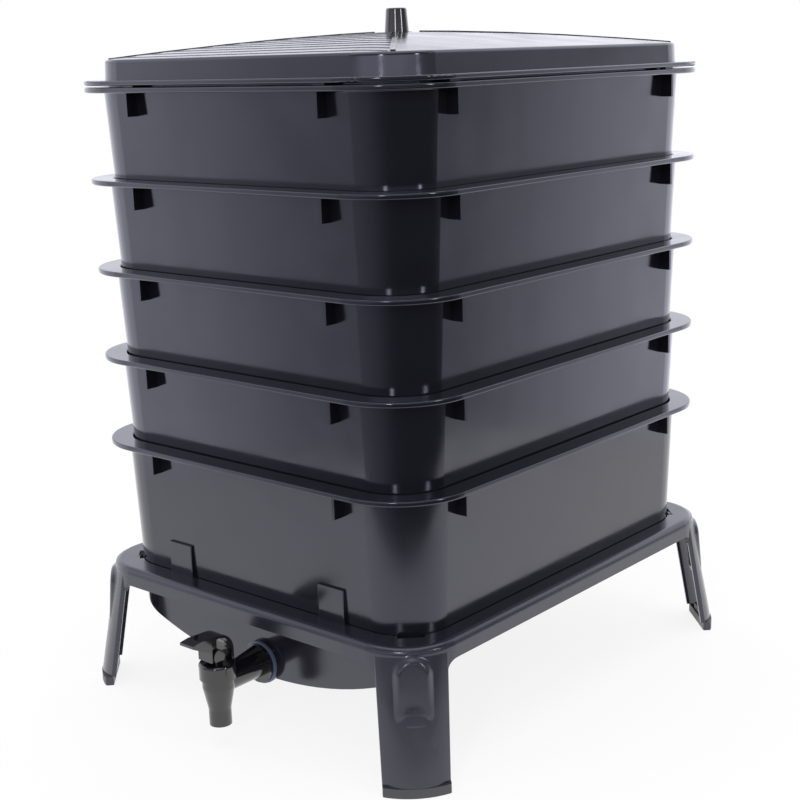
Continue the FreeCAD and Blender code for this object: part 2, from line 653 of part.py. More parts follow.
def add_lugs(tub):
    sunk = wall_at(WALL_DEPTH, "bin_rim_top - ring_top", "bin_draft", "wall / 2")
    face = f"({OPENING_DEPTH} / 2 + lug_bearing)"
    sketch = new_sketch(tub, "XY_Plane", ("0", "0", "ring_top"))
    left, right = "(lug_x - lug_width / 2)", "(lug_x + lug_width / 2)"
    draw_rectangle(sketch, left, right, f"(-{face})", f"(-{sunk} / 2)")
    lug = pad(tub, sketch, "lug_height")
    all_round(tub, [lug])
    front = number(face)
    height = number("lug_height")
    fillet(tub, "lug_round", lambda edge: abs(edge.Length - height) < TOLERANCE
           and abs(abs(edge.CenterOfMass.y) - front) < TOLERANCE)


def add_tap_boss(tub):
    wall_half = wall_at(WALL_DEPTH, "bin_rim_top - tap_height", "bin_draft") + " / 2"
    outer = new_sketch(tub, "XZ_Plane", ("0", "0", BOSS_FACE))
    draw_circle(outer, "boss_width", "tap_x", "tap_height")
    pad(tub, outer, "boss_proud + wall / 2", Reversed=True)
    inner = new_sketch(tub, "XZ_Plane", ("0", "0", f"({wall_half} - wall - boss_inner_length)"))
    draw_circle(inner, "boss_inner", "tap_x", "tap_height")
    pad(tub, inner, "boss_inner_length + wall / 2")
    bore = new_sketch(tub, "XZ_Plane", ("0", "0", f"({BOSS_FACE} + overlap)"))
    draw_circle(bore, "(shank_thread + 2 * thread_gap)", "tap_x", "tap_height")
    pocket(tub, bore, "boss_proud + wall + boss_inner_length + 2 * overlap")


# Stand

def build_stand():
    """One moulding: the ring and four leaning channel legs."""
    leg = build_leg()
    members = [build_ring(), leg]
    for name, normal in (("across", Vector(1, 0, 0)), ("along", Vector(0, 1, 0))):
        for source in members[1:]:
            mirrored = doc.addObject("Part::Mirroring", "leg_mirrored_" + name)
            mirrored.Source = source
            mirrored.Normal = normal
            members.append(mirrored)
    stand = doc.addObject("Part::MultiFuse", "stand")
    stand.Label = "stand"
    stand.Shapes = members
    stand.Refine = True
    place(stand, "0", "0", "0")
    doc.recompute()
    return stand


def build_ring():
    """The ring with a rounded skirt, open underneath, with a lip round its opening."""
    ring = new_body("stand_ring")
    plate = new_sketch(ring, "XY_Plane", ("0", "0", "ring_top"))
    draw_rounded_rectangle(plate, RING_WIDTH, RING_DEPTH, "ring_radius")
    pad(ring, plate, "ring_height", Reversed=True)
    top = number("ring_top")
    fillet(ring, "ring_round", lambda edge: lies_at(edge, top))
    opening = new_sketch(ring, "XY_Plane", ("0", "0", "ring_top"))
    draw_rounded_rectangle(opening, OPENING_WIDTH, OPENING_DEPTH, OPENING_RADIUS)
    pocket(ring, opening, "ring_height + overlap")
    channel = new_sketch(ring, "XY_Plane", ("0", "0", "(ring_top - ring_height)"))
    draw_inset(channel, RING_WIDTH, RING_DEPTH, "ring_radius", "ring_wall", "outside")
    draw_inset(channel, OPENING_WIDTH, OPENING_DEPTH, OPENING_RADIUS, "-ring_lip", "inside")
    pocket(ring, channel, "ring_height - ring_plate", Reversed=True)
    trim = new_sketch(ring, "XY_Plane", ("0", "0", "(ring_top - ring_height)"))
    draw_inset(trim, OPENING_WIDTH, OPENING_DEPTH, OPENING_RADIUS, "-ring_lip - overlap")
    pocket(ring, trim, "ring_height - ring_lip_drop - ring_plate", Reversed=True)
    notch = corner_sketch(ring, OPENING_CORNER, "(ring_top + overlap)")
    draw_rectangle(notch, f"({OPENING_RADIUS} - notch_depth)", f"({OPENING_RADIUS} + notch_depth)",
                   "(-notch_width / 2)", "(notch_width / 2)")
    all_round(ring, [pocket(ring, notch, "ring_height + 2 * overlap")])
    return ring


def corner_sketch(body, centre, height, outward="0", upright=False, tilt="0"):
    """A sketch at the front right corner, a distance outwards from a corner centre.

    Flat, its X axis points outwards. Upright, its X axis runs across the corner and its Y axis up;
    a tilt leans its lower end outwards.
    """
    turn = Rotation(Vector(0, 0, 1), -45).multiply(Rotation(Vector(0, 1, 0), -number(tilt)))
    if upright:
        turn = turn.multiply(Rotation(Vector(1, 0, 0), 90)).multiply(Rotation(Vector(0, 1, 0), 90))
    across = f"({centre[0]} + ({outward}) * cos(45))"
    along = f"(-{centre[1]} - ({outward}) * cos(45))"
    return new_sketch(body, "XY_Plane", (across, along, height), turn)


LEG_START_BACK = lean("leg_start - ring_plate / 2", "leg_splay")
PANEL_TOP = "(ring_top - bulge_drop)"


def draw_leg_section(sketch, width_formula, radius_formula):
    """A channel: the curved face and its side flanges."""
    radius = number(radius_formula)
    half = number(width_formula) / 2
    thick = number("leg_wall")
    angle = math.asin(half / radius)
    front = radius * math.cos(angle)
    inner_angle = math.asin((half - thick) / (radius - thick))
    inner_front = (radius - thick) * math.cos(inner_angle)
    back = front - number("leg_flange")
    spots = {
        "front_low": Vector(front, -half, 0), "front_high": Vector(front, half, 0),
        "back_high": Vector(back, half, 0), "back_high_in": Vector(back, half - thick, 0),
        "in_high": Vector(inner_front, half - thick, 0), "in_low": Vector(inner_front, -half + thick, 0),
        "back_low_in": Vector(back, -half + thick, 0), "back_low": Vector(back, -half, 0),
    }
    centre, upward = Vector(0, 0, 0), Vector(0, 0, 1)
    outer = Part.ArcOfCircle(Part.Circle(centre, upward, radius), -angle, angle)
    inner = Part.ArcOfCircle(Part.Circle(centre, upward, radius - thick), -inner_angle, inner_angle)
    face = sketch.addGeometry(outer)
    lines = []
    for start, end in (("front_high", "back_high"), ("back_high", "back_high_in"), ("back_high_in", "in_high")):
        lines.append(sketch.addGeometry(Part.LineSegment(spots[start], spots[end])))
    back_face = sketch.addGeometry(inner)
    for start, end in (("in_low", "back_low_in"), ("back_low_in", "back_low"), ("back_low", "front_low")):
        lines.append(sketch.addGeometry(Part.LineSegment(spots[start], spots[end])))
    joints = [(face, 2, lines[0], 1), (lines[0], 2, lines[1], 1), (lines[1], 2, lines[2], 1),
              (lines[2], 2, back_face, 2), (back_face, 1, lines[3], 1), (lines[3], 2, lines[4], 1),
              (lines[4], 2, lines[5], 1), (lines[5], 2, face, 1)]
    for joint in joints:
        sketch.addConstraint(Sketcher.Constraint("Coincident", *joint))
    for line in (lines[0], lines[2], lines[3], lines[5]):
        sketch.addConstraint(Sketcher.Constraint("Horizontal", line))
    for line in (lines[1], lines[4]):
        sketch.addConstraint(Sketcher.Constraint("Vertical", line))
    for arc in (face, back_face):
        sketch.addConstraint(Sketcher.Constraint("Coincident", arc, 3, -1, 1))
        sketch.addConstraint(Sketcher.Constraint("Symmetric", arc, 1, arc, 2, -1))
    sketch.addConstraint(Sketcher.Constraint("Vertical", lines[1], 1, lines[4], 2))
    dimension(sketch, "Radius", "faceRadius", radius_formula, face)
    dimension(sketch, "Radius", "backRadius", f"({radius_formula} - leg_wall)", back_face)
    dimension(sketch, "DistanceY", "chord", width_formula, face, 1, face, 2)
    inside = f"({width_formula} - 2 * leg_wall)"
    dimension(sketch, "DistanceY", "chordInside", inside, back_face, 1, back_face, 2)
    dimension(sketch, "DistanceX", "flange", "leg_flange", lines[0], 2, lines[0], 1)


def out_along(spot):
    """How far a point lies outwards of the front right corner centre, and how far across it."""
    offset_x = spot.x - number(RING_CORNER[0])
    offset_y = spot.y + number(RING_CORNER[1])
    return (offset_x - offset_y) * math.sqrt(0.5), (offset_x + offset_y) * math.sqrt(0.5)


def is_long_front_edge(edge):
    """True for the two leaning edges between the curved face and the flanges' outer sides."""
    ends = [edge.valueAt(at) for at in (edge.FirstParameter, edge.LastParameter)]
    top = max(ends, key=lambda spot: spot.z)
    outwards, across = out_along(top)
    half = number("leg_width") / 2
    behind = number("leg_flange") / 2
    chord = number(f"{chord_distance('ring_radius', 'leg_width')} - {LEG_START_BACK}")
    upright = edge.BoundBox.ZLength > number(LEG_DROP) / 2
    return upright and abs(abs(across) - half) < TOLERANCE and abs(outwards - chord) < behind


def add_leg_roots(leg):
    """Webs that round the corners between the leg and the lower edge of the skirt."""
    skirt_low = "(ring_top - ring_height)"
    narrower = f"((leg_width - leg_foot_width) / 2 * ({LEG_TOP} - {skirt_low}) / {LEG_DROP})"
    reach = f"(leg_width / 2 - {narrower} + leg_root)"
    band = corner_sketch(leg, RING_CORNER, f"({skirt_low} + ring_plate / 2)")
    outer, thick = number("ring_radius"), number("ring_wall")
    arcs = []
    for radius in (outer, outer - thick):
        angle = math.asin(number(reach) / radius)
        arcs.append(band.addGeometry(
            Part.ArcOfCircle(Part.Circle(Vector(0, 0, 0), Vector(0, 0, 1), radius), -angle, angle)))
        band.addConstraint(Sketcher.Constraint("Coincident", arcs[-1], 3, -1, 1))
        band.addConstraint(Sketcher.Constraint("Symmetric", arcs[-1], 1, arcs[-1], 2, -1))
    for end in (1, 2):
        spots = [band.getPoint(arc, end) for arc in arcs]
        line = band.addGeometry(Part.LineSegment(*spots))
        band.addConstraint(Sketcher.Constraint("Coincident", line, 1, arcs[0], end))
        band.addConstraint(Sketcher.Constraint("Coincident", line, 2, arcs[1], end))
        if end == 1:
            band.addConstraint(Sketcher.Constraint("Horizontal", line))
    dimension(band, "Radius", "outer", "ring_radius", arcs[0])
    dimension(band, "Radius", "inner", "(ring_radius - ring_wall)", arcs[1])
    dimension(band, "DistanceY", "reach", f"(2 * {reach})", arcs[0], 1, arcs[0], 2)
    pad(leg, band, "leg_root + ring_plate / 2", Reversed=True)
    low = f"({skirt_low} - leg_root)"
    rounds = corner_sketch(leg, RING_CORNER, low, "(ring_radius + overlap)", upright=True)
    for tag, side in (("left", "-"), ("right", "")):
        draw_circle(rounds, "(2 * leg_root)", f"({side}{reach})", tag=tag)
    pocket(leg, rounds, "ring_radius + overlap")


def build_leg():
    """The front right leg: a leaning channel that narrows downwards, with a panel at its head."""
    leg = new_body("stand_leg")
    head = corner_sketch(leg, RING_CORNER, LEG_TOP, f"(-{LEG_START_BACK})")
    draw_leg_section(head, "leg_width", "ring_radius")
    end = corner_sketch(leg, RING_CORNER, "foot_height", LEG_CENTRE_LOW)
    draw_leg_section(end, "leg_foot_width", "leg_foot_radius")
    channel = leg.newObject("PartDesign::AdditiveLoft", "leg_channel")
    channel.Profile = (head, [""])
    channel.Sections = [(end, [""])]
    channel.Ruled = True
    doc.recompute()
    fillet(leg, "leg_round", is_long_front_edge)
    add_leg_roots(leg)
    doc.recompute()
    joined = leg.newObject("PartDesign::Boolean", "leg_with_panel")
    joined.Type = 0
    joined.setObjects([build_leg_panel()])
    doc.recompute()
    inside = "(ring_radius - leg_wall - leg_flange - overlap)"
    hollow = corner_sketch(leg, RING_CORNER, PANEL_TOP, inside, upright=True, tilt="bulge_lean")
    draw_arch(hollow, "leg_wall")
    pocket(leg, hollow, "leg_flange + overlap + bulge_proud", Reversed=True)
    return leg


def build_leg_panel():
    """The panel with a half round top; its lower end sinks into the leg."""
    panel = new_body("leg_panel")
    inside = "(ring_radius - leg_wall)"
    outline = corner_sketch(panel, RING_CORNER, PANEL_TOP, inside, upright=True, tilt="bulge_lean")
    draw_arch(outline, "0")
    pad(panel, outline, "leg_wall + bulge_proud")
    doc.recompute()
    front = max(panel.Tip.Shape.Faces, key=lambda face: out_along(face.CenterOfMass)[0])
    fillet(panel, "bulge_round", lambda edge: any(edge.isSame(other) for other in front.Edges))
    return panel


def draw_arch(sketch, inset):
    """An upright panel with a half round top, or its hollow a wall further in; its top is at height 0."""
    radius = number(f"bulge_width / 2 - {inset}")
    spring = "(-bulge_width / 2)"
    foot = f"(-bulge_height + {inset})"
    y_spring, y_foot = number(spring), number(foot)
    circle = Part.Circle(Vector(0, y_spring, 0), Vector(0, 0, 1), radius)
    arc = sketch.addGeometry(Part.ArcOfCircle(circle, 0, math.pi))
    left = sketch.addGeometry(Part.LineSegment(Vector(-radius, y_spring, 0), Vector(-radius, y_foot, 0)))
    base = sketch.addGeometry(Part.LineSegment(Vector(-radius, y_foot, 0), Vector(radius, y_foot, 0)))
    right = sketch.addGeometry(Part.LineSegment(Vector(radius, y_foot, 0), Vector(radius, y_spring, 0)))
    for joint in ((arc, 2, left, 1), (right, 2, arc, 1)):
        sketch.addConstraint(Sketcher.Constraint("Tangent", *joint))
    for joint in ((left, 2, base, 1), (base, 2, right, 1)):
        sketch.addConstraint(Sketcher.Constraint("Coincident", *joint))
    sketch.addConstraint(Sketcher.Constraint("Horizontal", base))
    for upright in (left, right):
        sketch.addConstraint(Sketcher.Constraint("Vertical", upright))
    sketch.addConstraint(Sketcher.Constraint("PointOnObject", arc, 3, -2))
    dimension(sketch, "Radius", "archRadius", f"(bulge_width / 2 - {inset})", arc)
    dimension(sketch, "DistanceY", "spring", spring, -1, 1, arc, 3)
    dimension(sketch, "DistanceY", "foot", foot, -1, 1, base, 1)


# Feet

def draw_foot_outline(sketch):
    """The foot in plan: a straight back, square ends and a front that bows out."""
    half, back = number("leg_foot_width") / 2, number(FOOT_BACK)
    radius = number(FOOT_RADIUS)
    centre = Vector(number(FOOT_FRONT) - radius, 0, 0)
    angle = math.asin(half / radius)
    ends = centre.x + radius * math.cos(angle)
    bow = sketch.addGeometry(Part.ArcOfCircle(Part.Circle(centre, Vector(0, 0, 1), radius), -angle, angle))
    spots = [Vector(ends, half, 0), Vector(back, half, 0), Vector(back, -half, 0), Vector(ends, -half, 0)]
    first = sketch.GeometryCount
    for start, end in zip(spots, spots[1:]):
        sketch.addGeometry(Part.LineSegment(start, end))
    chain = (bow, first, first + 1, first + 2, bow)
    for index, following in zip(chain, chain[1:]):
        sketch.addConstraint(Sketcher.Constraint("Coincident", index, 2, following, 1))
    for line, kind in ((first, "Horizontal"), (first + 1, "Vertical"), (first + 2, "Horizontal")):
        sketch.addConstraint(Sketcher.Constraint(kind, line))
    sketch.addConstraint(Sketcher.Constraint("PointOnObject", bow, 3, -1))
    sketch.addConstraint(Sketcher.Constraint("Equal", first, first + 2))
    dimension(sketch, "Radius", "bowRadius", FOOT_RADIUS, bow)
    dimension(sketch, "DistanceX", "bowCentre", f"({FOOT_FRONT} - {FOOT_RADIUS})", -1, 1, bow, 3)
    dimension(sketch, "DistanceY", "width", "leg_foot_width", bow, 1, bow, 2)
    dimension(sketch, "DistanceX", "back", FOOT_BACK, -1, 1, first, 2)


def build_foot(label, side_x, side_y):
    """A foot block under a leg, with a tenon inside the leg's channel."""
    foot = new_body(label)
    block = new_sketch(foot, "XY_Plane")
    draw_foot_outline(block)
    pad(foot, block, "foot_height")
    height = number("foot_height")
    fillet(foot, "foot_round", lambda edge: abs(edge.BoundBox.ZLength - height) < TOLERANCE)
    tenon = new_sketch(foot, "XY_Plane", ("0", "0", "foot_height"))
    channel_face = f"({LEG_CENTRE_LOW} + {chord_distance('leg_foot_radius - leg_wall', 'foot_tenon_width')})"
    face = f"({channel_face} - fit - {lean('foot_tenon', 'leg_splay')})"
    half = "(foot_tenon_width / 2)"
    draw_rectangle(tenon, f"({FOOT_BACK} + foot_round)", face, f"(-{half})", half)
    pad(foot, tenon, "foot_tenon")
    angle = math.degrees(math.atan2(side_y, side_x))
    foot.Placement = Placement(Vector(0, 0, 0), Rotation(Vector(0, 0, 1), angle))
    place(foot, f"({side_x} * {RING_CORNER[0]})", f"({side_y} * {RING_CORNER[1]})", "0")
    return foot


# Lid

LID_FLANGE_LOW = f"({TOP_RIM} + lid_gap)"
LID_SIDE_LOW = f"({LID_FLANGE_LOW} + lid_flange)"
LID_SHOULDER = f"({LID_SIDE_LOW} + lid_side)"
LID_WIDTH = "(rim_width - 2 * lid_inset)"
LID_DEPTH = "(rim_depth - 2 * lid_inset)"
LID_RADIUS = "(rim_radius - lid_inset)"
DOME_STEPS = (0, 0.08, 0.2, 0.4, 0.6, 0.8, 0.92)


def dome_height(step):
    return f"(dome_rise * (1 - {1 - step}^dome_curve))"


def add_dome(body, inset, kind):
    """The low hipped dome: similar rounded rectangles, each further in and higher."""
    base = f"({LID_SHOULDER} - ({inset}))"
    shrink = f"(2 * ({inset}) + 2 * lid_shelf + 2 * {lean('lid_side', 'lid_draft')})"
    sections = []
    for index, step in enumerate(DOME_STEPS):
        sketch = new_sketch(body, "XY_Plane", ("0", "0", f"({base} + {dome_height(step)})"))
        draw_rounded_rectangle(sketch, f"(({LID_WIDTH} - {shrink}) * {1 - step:.4g})",
                               f"(({LID_DEPTH} - {shrink}) * {1 - step:.4g})",
                               f"(({LID_RADIUS} - {shrink} / 2) * {1 - step:.4g})")
        sections.append(sketch)
    loft = body.newObject("PartDesign::" + kind, body.Label + "_dome")
    loft.Profile = (sections[0], [""])
    loft.Sections = [(section, [""]) for section in sections[1:]]
    doc.recompute()
    return loft


def lid_side_sketch(body, inset):
    sketch = new_sketch(body, "XY_Plane", ("0", "0", LID_SIDE_LOW))
    draw_inset(sketch, LID_WIDTH, LID_DEPTH, LID_RADIUS, inset)
    return sketch


def add_hip_ribs(lid):
    """A narrow raised rib along each hip, from the shoulder to the knob seat."""
    half_x = f"(({LID_WIDTH}) / 2 - lid_shelf - {lean('lid_side', 'lid_draft')})"
    half_y = f"(({LID_DEPTH}) / 2 - lid_shelf - {lean('lid_side', 'lid_draft')})"
    radius = f"({LID_RADIUS} - lid_shelf - {lean('lid_side', 'lid_draft')})"
    corner_x = f"({half_x} - {radius} * (1 - cos(45)))"
    corner_y = f"({half_y} - {radius} * (1 - cos(45)))"
    run = f"sqrt({corner_x}^2 + {corner_y}^2)"
    made = []
    for side in (1, -1):
        angle = side * math.degrees(math.atan2(number(corner_y), number(corner_x)))
        turn = Rotation(Vector(0, 0, 1), angle).multiply(Rotation(Vector(1, 0, 0), 90))
        rib = new_sketch(lid, "XY_Plane", turn=turn)
        top = [(f"({run} * {1 - step:.4g})", f"({LID_SHOULDER} + {dome_height(step)} + hip_proud)")
               for step in DOME_STEPS]
        bottom = [(across, f"({up} - hip_proud - lid_wall / 2)") for across, up in reversed(top)]
        draw_polygon(rib, top + bottom)
        made.append(pad(lid, rib, "hip_width", Midplane=True))
    return mirror_about(lid, made, ("YZ_Plane",))


def build_lid():
    lid = new_body("lid")
    flange = new_sketch(lid, "XY_Plane", ("0", "0", LID_FLANGE_LOW))
    draw_rounded_rectangle(flange, "rim_width", "rim_depth", "rim_radius")
    pad(lid, flange, "lid_flange")
    low, high = number(LID_FLANGE_LOW), number(LID_SIDE_LOW)
    fillet(lid, "rim_round", lambda edge: lies_at(edge, low) or lies_at(edge, high))
    side = lid_side_sketch(lid, "0")
    pad(lid, side, "lid_side", TaperAngle="-lid_draft")
    shoulder = number(LID_SHOULDER)
    fillet(lid, "lid_round", lambda edge: lies_at(edge, shoulder))
    add_dome(lid, "0", "AdditiveLoft")
    hollow = lid_side_sketch(lid, "lid_wall")
    pocket(lid, hollow, "lid_side - lid_wall", Reversed=True, TaperAngle="-lid_draft")
    add_dome(lid, "lid_wall", "SubtractiveLoft")
    lip = new_sketch(lid, "XY_Plane", ("0", "0", LID_FLANGE_LOW))
    draw_inset(lip, WALL_WIDTH, WALL_DEPTH, WALL_RADIUS, "wall + lip_gap")
    pad(lid, lip, "lid_gap + lip_drop", Reversed=True)
    mouth = new_sketch(lid, "XY_Plane", ("0", "0", LID_SIDE_LOW))
    draw_inset(mouth, WALL_WIDTH, WALL_DEPTH, WALL_RADIUS, "wall + lip_gap + lip_wall")
    pocket(lid, mouth, "lid_flange + lid_gap + lip_drop + overlap")
    add_rest_pads(lid)
    add_hip_ribs(lid)
    seat = new_sketch(lid, "XY_Plane", ("0", "0", f"({LID_SHOULDER} + dome_rise)"))
    draw_circle(seat, "seat_width")
    pad(lid, seat, "seat_thick", Reversed=True)
    bore = new_sketch(lid, "XY_Plane", ("0", "0", f"({LID_SHOULDER} + dome_rise + overlap)"))
    draw_circle(bore, "(screw_width + 2 * fit)")
    pocket(lid, bore, "2 * dome_rise")
    place(lid, "0", "0", "0")
    return lid


def add_rest_pads(lid):
    """Eight low pads under the flange keep the air gap."""
    made = []
    inner_x = f"({WALL_WIDTH} / 2)"
    inner_y = f"({WALL_DEPTH} / 2)"
    for left, right, low, high in (
        (inner_x, f"({inner_x} + pad_width)", "(gusset_y - pad_length / 2)", "(gusset_y + pad_length / 2)"),
        ("(gusset_x - pad_length / 2)", "(gusset_x + pad_length / 2)", inner_y, f"({inner_y} + pad_width)"),
    ):
        sketch = new_sketch(lid, "XY_Plane", ("0", "0", TOP_RIM))
        draw_rectangle(sketch, left, right, low, high)
        made.append(pad(lid, sketch, "lid_gap + lid_flange / 2"))
    all_round(lid, made)


# Turned pieces

def build_turned(label, outline, spot):
    """A body turned about its upright axis from an outline of radius and height pairs."""
    body = new_body(label)
    sketch = new_sketch(body, "XZ_Plane")
    draw_polygon(sketch, outline)
    revolve(body, sketch)
    place(body, *spot)
    doc.recompute()
    return body


KNOB_SEAT = f"({LID_SHOULDER} + dome_rise)"


def build_knob():
    knob = build_turned(
        "lid_knob",
        [("0", "0"), ("(knob_base / 2)", "0"), ("(knob_top / 2)", "knob_height"), ("0", "knob_height")],
        spot=("0", "0", KNOB_SEAT),
    )
    top = number("knob_height")
    fillet(knob, "knob_round", lambda edge: lies_at(edge, top))
    hole = new_sketch(knob, "XY_Plane")
    draw_circle(hole, "(screw_width + 2 * thread_gap)")
    pocket(knob, hole, "screw_length", Reversed=True)
    return knob


def build_knob_fasteners():
    """The screw up into the knob and its washer, under the lid."""
    under = f"({KNOB_SEAT} - seat_thick)"
    washer = build_turned(
        "knob_washer",
        [("(screw_width / 2 + fit)", "(-washer_thick)"), ("(washer_width / 2)", "(-washer_thick)"),
         ("(washer_width / 2)", "0"), ("(screw_width / 2 + fit)", "0")],
        spot=("0", "0", under),
    )
    screw = build_turned(
        "knob_screw",
        [("0", "(-screw_head_high)"), ("(screw_head / 2)", "(-screw_head_high)"), ("(screw_head / 2)", "0"),
         ("(screw_width / 2)", "0"), ("(screw_width / 2)", "screw_length"), ("0", "screw_length")],
        spot=("0", "0", f"({under} - washer_thick)"),
    )
    slot = new_sketch(screw, "XY_Plane", ("0", "0", "(-screw_head_high - overlap)"))
    slot_end = "(screw_head / 2 + overlap)"
    draw_rectangle(slot, f"(-{slot_end})", slot_end, "(-driver_slot / 2)", "(driver_slot / 2)")
    pocket(screw, slot, "overlap + screw_head_high / 2", Reversed=True)
    return washer, screw


# Tap

def build_tap_body():
    """The valve body: outlet, bell, neck and the shank that screws into the bin."""
    straight = "(-spout_drop + spout_straight)"
    tap = build_turned("tap_body", [
        ("0", "(-spout_drop)"), ("(spout_width / 2)", "(-spout_drop)"), ("(spout_width / 2)", straight),
        ("(tap_belly / 2)", "(-band_low)"), ("(tap_belly / 2)", "band_low"), ("(collar_width / 2)", "band_low"),
        ("(collar_width / 2)", "band_top"), ("0", "band_top"),
    ], spot=TAP_PLACE)
    bend = number(straight)
    fillet(tap, "bell_round", lambda edge: lies_at(edge, bend))
    shank = new_sketch(tap, "XZ_Plane")
    draw_circle(shank, "shank_width")
    pad(tap, shank, FLANGE_NEAR, Reversed=True)
    flange = new_sketch(tap, "XZ_Plane", ("0", "0", f"(-{FLANGE_NEAR})"))
    draw_circle(flange, "flange_width")
    pad(tap, flange, "flange_thick", Reversed=True)
    rib = new_sketch(tap, "YZ_Plane")
    draw_polygon(rib, [("(tap_belly / 2 - overlap)", "(shank_width / 3)"), (FLANGE_NEAR, "(shank_width / 3)"),
                       (FLANGE_NEAR, "(shank_width / 2 + shank_rib_rise)"),
                       ("(tap_belly / 2 - overlap)", "(shank_width / 2 - overlap)")])
    pad(tap, rib, "shank_rib", Midplane=True)
    thread = new_sketch(tap, "XZ_Plane", ("0", "0", f"(-{FLANGE_NEAR})"))
    draw_circle(thread, "shank_thread")
    through_wall = "flange_thick + gasket_thick + boss_proud + wall + boss_inner_length + 2 * overlap"
    pad(tap, thread, through_wall, Reversed=True)
    spigot_low = "(band_top - spigot_length - thread_gap)"
    socket = "(spigot_width / 2 + thread_gap)"
    chamber = new_sketch(tap, "XZ_Plane")
    draw_polygon(chamber, [
        ("0", "(-spout_drop - overlap)"), ("(spout_bore / 2)", "(-spout_drop - overlap)"),
        ("(spout_bore / 2)", "(-valve_seat - seat_web)"), ("(valve_port / 2)", "(-valve_seat - seat_web)"),
        ("(valve_port / 2)", "(-valve_seat)"), ("(chamber_width / 2)", "(-valve_seat)"),
        ("(chamber_width / 2)", spigot_low), (socket, spigot_low),
        (socket, "(band_top + overlap)"), ("0", "(band_top + overlap)"),
    ])
    revolve(tap, chamber, "Groove")
    doc.recompute()
    bore = new_sketch(tap, "XZ_Plane")
    draw_circle(bore, "shank_bore")
    pocket(tap, bore, "2 * tap_reach")
    return tap


PIVOT_Y = "(-pivot_forward)"
CHEEK_IN = "(hub_length / 2 + side_gap)"


def build_bonnet():
    """The screwed cap with two yoke cheeks that hold the lever pin."""
    spigot_low = "(band_top - spigot_length)"
    bonnet = build_turned("tap_bonnet", [
        ("0", spigot_low), ("(spigot_width / 2)", spigot_low), ("(spigot_width / 2)", "band_top"),
        ("(collar_width / 2)", "band_top"), ("(collar_width / 2)", "collar_top"), ("0", "collar_top"),
    ], spot=TAP_PLACE)
    top = number("collar_top")
    fillet(bonnet, "collar_round", lambda edge: lies_at(edge, top))
    disc = new_sketch(bonnet, "YZ_Plane", ("0", "0", CHEEK_IN))
    draw_circle(disc, "cheek_width", PIVOT_Y, "pivot_height")
    web = new_sketch(bonnet, "YZ_Plane", ("0", "0", CHEEK_IN))
    draw_rectangle(web, f"({PIVOT_Y} - yoke_width / 2)", f"({PIVOT_Y} + yoke_width / 2)",
                   "(collar_top - overlap)", "pivot_height")
    made = [pad(bonnet, web, "cheek_thick"), pad(bonnet, disc, "cheek_thick")]
    mirror_about(bonnet, made, ("YZ_Plane",))
    holes = new_sketch(bonnet, "YZ_Plane")
    draw_circle(holes, "pin_width", PIVOT_Y, "pivot_height")
    pocket(bonnet, holes, "collar_width", Midplane=True)
    bore = new_sketch(bonnet, "XY_Plane")
    draw_circle(bore, "(stem_width + 2 * stem_gap)")
    pocket(bonnet, bore, "2 * collar_top", Reversed=True)
    return bonnet


HOOD_STEP = 15  # degrees between the points of the hood's round back


def hood_arc(inset, angles):
    """Points on the hood's round back, a distance inside its outer face."""
    return [(f"(hood_back - hood_radius + (hood_radius - ({inset})) * cos({angle}))",
             f"(crest_height - hood_radius + (hood_radius - ({inset})) * sin({angle}))") for angle in angles]


def build_lever():
    """The lever: a hood and paddle in one band, a hub on the pin and a crossbar that lifts the stem."""
    lever = new_body("tap_lever")
    back_low = "(collar_top - pivot_height + hood_back_gap)"
    tip_top = "(crest_height + tip_rise)"
    front_angle = "acos((hood_radius - hood_back - hood_front + hood_front_wall) / (hood_radius - hood_wall))"
    band = [("hood_back", back_low)] + hood_arc("0", range(0, 90 + HOOD_STEP, HOOD_STEP)) + [
        ("(-lever_length + hood_front)", tip_top), ("(-lever_length)", f"({tip_top} - tip_thick / 3)"),
        ("(-lever_length)", f"({tip_top} - tip_thick)"), ("(-hood_front)", "paddle_root"),
        ("(-hood_front)", "(-hood_front_low)"), ("(-hood_front + hood_front_wall)", "(-hood_front_low)"),
    ] + hood_arc("hood_wall", [front_angle] + list(range(90 + HOOD_STEP, -HOOD_STEP, -HOOD_STEP))) + [
        ("(hood_back - hood_wall)", back_low),
    ]
    side = new_sketch(lever, "YZ_Plane")
    draw_polygon(side, band)
    pad(lever, side, "lever_width", Midplane=True)
    web = new_sketch(lever, "YZ_Plane")
    draw_rectangle(web, "(-web_thick)", "0", "0", "(crest_height - hood_wall / 2)")
    pad(lever, web, "hub_length", Midplane=True)
    hub = new_sketch(lever, "YZ_Plane")
    draw_circle(hub, "hub_width")
    pad(lever, hub, "hub_length", Midplane=True)
    slot = new_sketch(lever, "YZ_Plane")
    before_hub = "(-hub_width / 2 - overlap)"
    draw_polygon(slot, [("0", "0"), ("0", "hub_width"), ("hub_width", "hub_width"),
                        ("hub_width", "(-hub_width)"), (before_hub, "(-hub_width)"), (before_hub, "0")])
    pocket(lever, slot, "slot_width", Midplane=True)
    bar = new_sketch(lever, "YZ_Plane")
    draw_circle(bar, "crossbar", "pivot_forward", "0")
    pad(lever, bar, "hub_length", Midplane=True)
    bore = new_sketch(lever, "YZ_Plane")
    draw_circle(bore, "(pin_width + 2 * stem_gap)")
    pocket(lever, bore, "lever_width", Midplane=True)
    place(lever, *PIVOT_PLACE)
    doc.recompute()
    return lever


def build_lever_pin():
    pin = new_body("tap_lever_pin")
    sketch = new_sketch(pin, "YZ_Plane")
    draw_circle(sketch, "pin_width")
    pad(pin, sketch, f"2 * ({CHEEK_IN} + cheek_thick)", Midplane=True)
    place(pin, *PIVOT_PLACE)
    return pin


